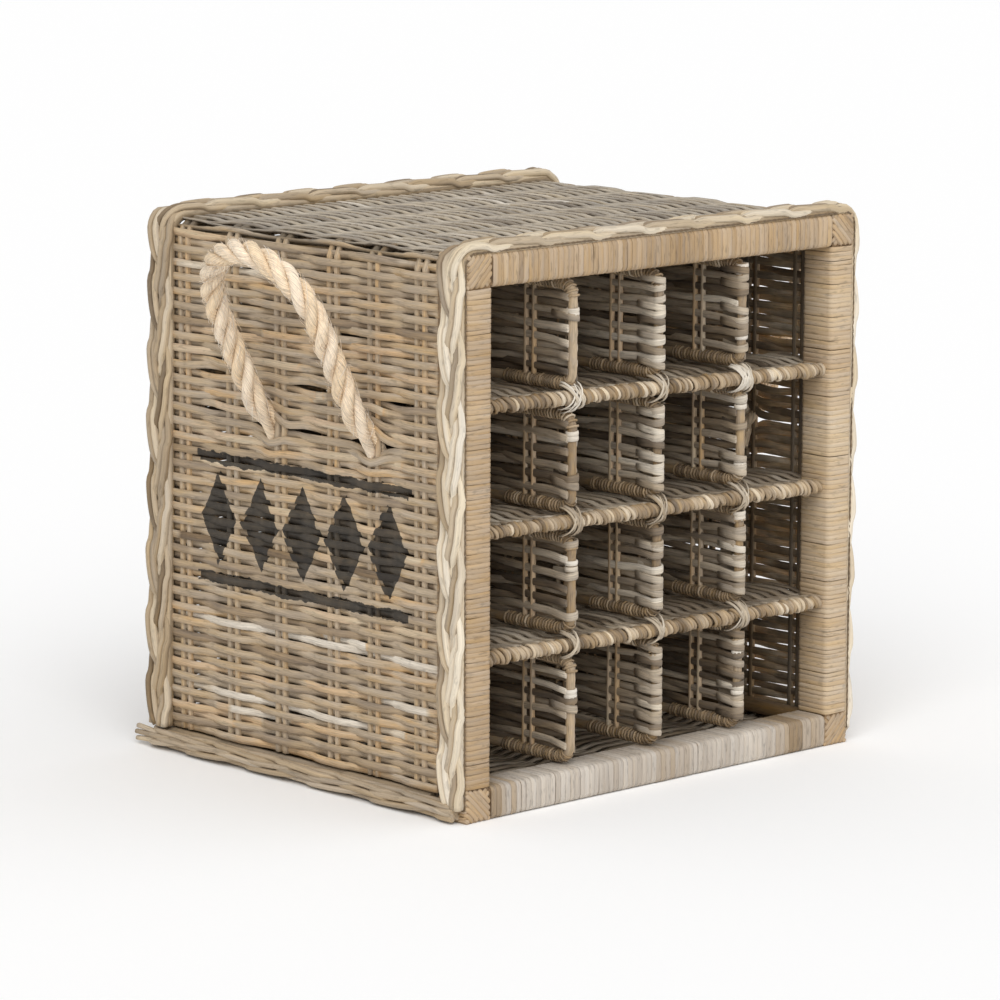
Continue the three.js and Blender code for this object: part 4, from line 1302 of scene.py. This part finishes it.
def plaited(route, outward, across, half_width, lift, cane=PLAIT_CANE, repeat=PLAIT_REPEAT):
    """Three strands, each of two canes that lie side by side, over a straight cane at each edge."""
    along = along_line(route)
    canes = []
    for number in range(3):
        turn = FULL_TURN * (along / repeat + number / 3)
        zigzag = np.arcsin(np.sin(turn)) / QUARTER
        side = (half_width - cane) * np.tanh(HELD * zigzag) / math.tanh(HELD)
        rise = lift * np.tanh(CROSSING * np.sin(2 * turn))
        for beside in (-0.5, 0.5):
            sideways = side + beside * cane * SIDE_BY_SIDE + wander(along, 0.2, 70)
            height = rise + wander(along, 0.2, 35)
            points = route + across * sideways[:, None] + outward * height[:, None]
            girth = chance.uniform(0.9, 1.03) + wander(along, 0.015, 40)
            canes.append(Strand(points, 0.0, girth, tone()))
    for edge in (-1, 1):
        sideways = edge * (half_width - EDGE_IN * cane) + wander(along, 0.2, 60)
        points = route + across * sideways[:, None] - outward * EDGE_SUNK * lift
        canes.append(Strand(points, 0.0, EDGE_GIRTH, tone(0.45, 0.1) + wander(along, 0.1, 80)))
    return canes


def arch_route(name, radius, foot):
    """Middle line of a plait over the rack, its outward direction and its half width."""
    _, high, size, middle = box_of(name)
    depth = (high[2] - box_of("front_top_rail_binding").high[2]) / 2
    x, z, heading = arch_line(high[0] - depth, high[2] - depth, foot, radius, PLAIT_STEP)
    outward = line(-np.cos(heading), 0.0, np.sin(heading))
    return line(x, middle[1], z), outward, size[1] / 2 + PLAIT_SPILL


foot_top = box_of("base_braid").high[2]
route, outward, half_width = arch_route("front_braid", FRONT_BEND, foot_top - FRONT_FOOT)
route[:, 1] += FRONT_SHIFT
on_roof = np.interp(route[:, 2], [RACK_TOP - ROOF_FROM, RACK_TOP], [0, ROOF_DULL])
front_canes = [cane._replace(tone=cane.tone - on_roof)
               for cane in plaited(route, outward, DEPTHWISE, half_width, PLAIT_LIFT)]
turn = FULL_TURN * along_line(route) / SEAM_TWIST
seam = []
for start in (0, np.pi):
    points = (route - DEPTHWISE * (SEAM_PLACE[0] + SEAM_CANE / 2 * np.sin(turn + start))[:, None]
              - outward * (SEAM_PLACE[1] + SEAM_CANE / 2 * np.cos(turn + start))[:, None])
    seam.append(Strand(points, tone=0.0))
make_piece("front_braid_plait", [
    (wind(front_canes, plait_outline), plait_cane),
    (wind(seam, round_outline(SEAM_CANE, 6)), rim_cane)], ["front_braid"])
low, high, _, _ = box_of("back_braid")
route, outward, half_width = arch_route("back_braid", REAR_BEND, low[2])
route[:, 1] += REAR_SHIFT + rear_lean(route[:, 2])
rear_canes = plaited(route, outward, DEPTHWISE, half_width, PLAIT_LIFT)
x, z, _ = arch_line(box_of("body_weave").high[0], RACK_TOP, low[2], BEND_RADIUS, PLAIT_STEP)
for place in (low[1] + LINING_IN, high[1] - LINING_IN):
    rear_canes.append(Strand(line(x, place + rear_lean(z), z), 0.0, LINING_GIRTH, LINING_TONE))
make_piece("back_braid_plait", [(wind(rear_canes, plait_outline), rear_plait_cane)],
           ["back_braid"])

# %% [markdown]
# The foot plait hides the lower edge of the weave. It starts under the front plait, and two thicker
# canes behind it fill the corner between plait and wall. At the rear left its cut ends stand out.

# %% Foot plait
FOOT_OUT = 6.5  # middle of the foot plait behind its outermost line
FOOT_BEND = 13.0
FOOT_START = 26  # how far it runs on under the front plait
FOOT_CLEAR = 1.3  # held this much narrower than its solid, so that no cane dips into the ground
FILL_FROM, FILL_IN, FILL_HEIGHTS = 8, 10.5, (5.0, 14.8)  # of the canes behind the plait
FILL_GIRTH, FILL_TONE = 1.35, 0.3
CUT_END, CUT_STRAY, CUT_LENGTH = 8, 2, 60  # how far the ends stand out behind, and their length
CUT_POINTS, CUT_FROM, CUT_HEIGHTS = 14, 10.0, (5.0, 10.5, 15.5)
low, high, size, middle = box_of("base_braid")
x, back, heading = arch_line(high[0] - FOOT_OUT, high[1] - FOOT_OUT, low[1] - FOOT_START, FOOT_BEND,
                             PLAIT_STEP)
route = line(x, back, middle[2])
outward = line(-np.cos(heading), np.sin(heading), 0.0)
foot = plaited(route, outward, UPRIGHT, size[2] / 2 - FOOT_CLEAR, FOOT_LIFT, FOOT_CANE, FOOT_REPEAT)
behind = back > low[1] + FILL_FROM
for height in FILL_HEIGHTS:
    inner = route[behind] - outward[behind] * FILL_IN + [0, 0, height - middle[2]]
    foot.append(Strand(inner, 0.0, FILL_GIRTH, FILL_TONE))
for height in CUT_HEIGHTS:
    end = high[1] + CUT_END + chance.uniform(-CUT_STRAY, CUT_STRAY)
    y = np.linspace(high[1] - CUT_LENGTH, end, CUT_POINTS)
    x = low[0] + FOOT_OUT + wander(y, 0.6, 20)
    z = np.interp(y, [y[0], end], [CUT_FROM, height])
    foot.append(Strand(line(x, y, z), 0.0, np.linspace(1.0, 0.8, CUT_POINTS), tone()))
make_piece("base_braid_plait", [(wind(foot, foot_outline), foot_cane)], ["base_braid"])

# %% [markdown]
# ## Size
# Canes may stand a little proud of the solids, but the rack keeps its size. How far the low and the
# high corner of the bounding box have grown is printed.

# %% Size
visual_box = [list(corner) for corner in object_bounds()]
grown = [[round((b - a) / MM, 1) for a, b in zip(*pair)] for pair in zip(cad_box, visual_box)]
print("grown by mm, low and high corner:", grown)
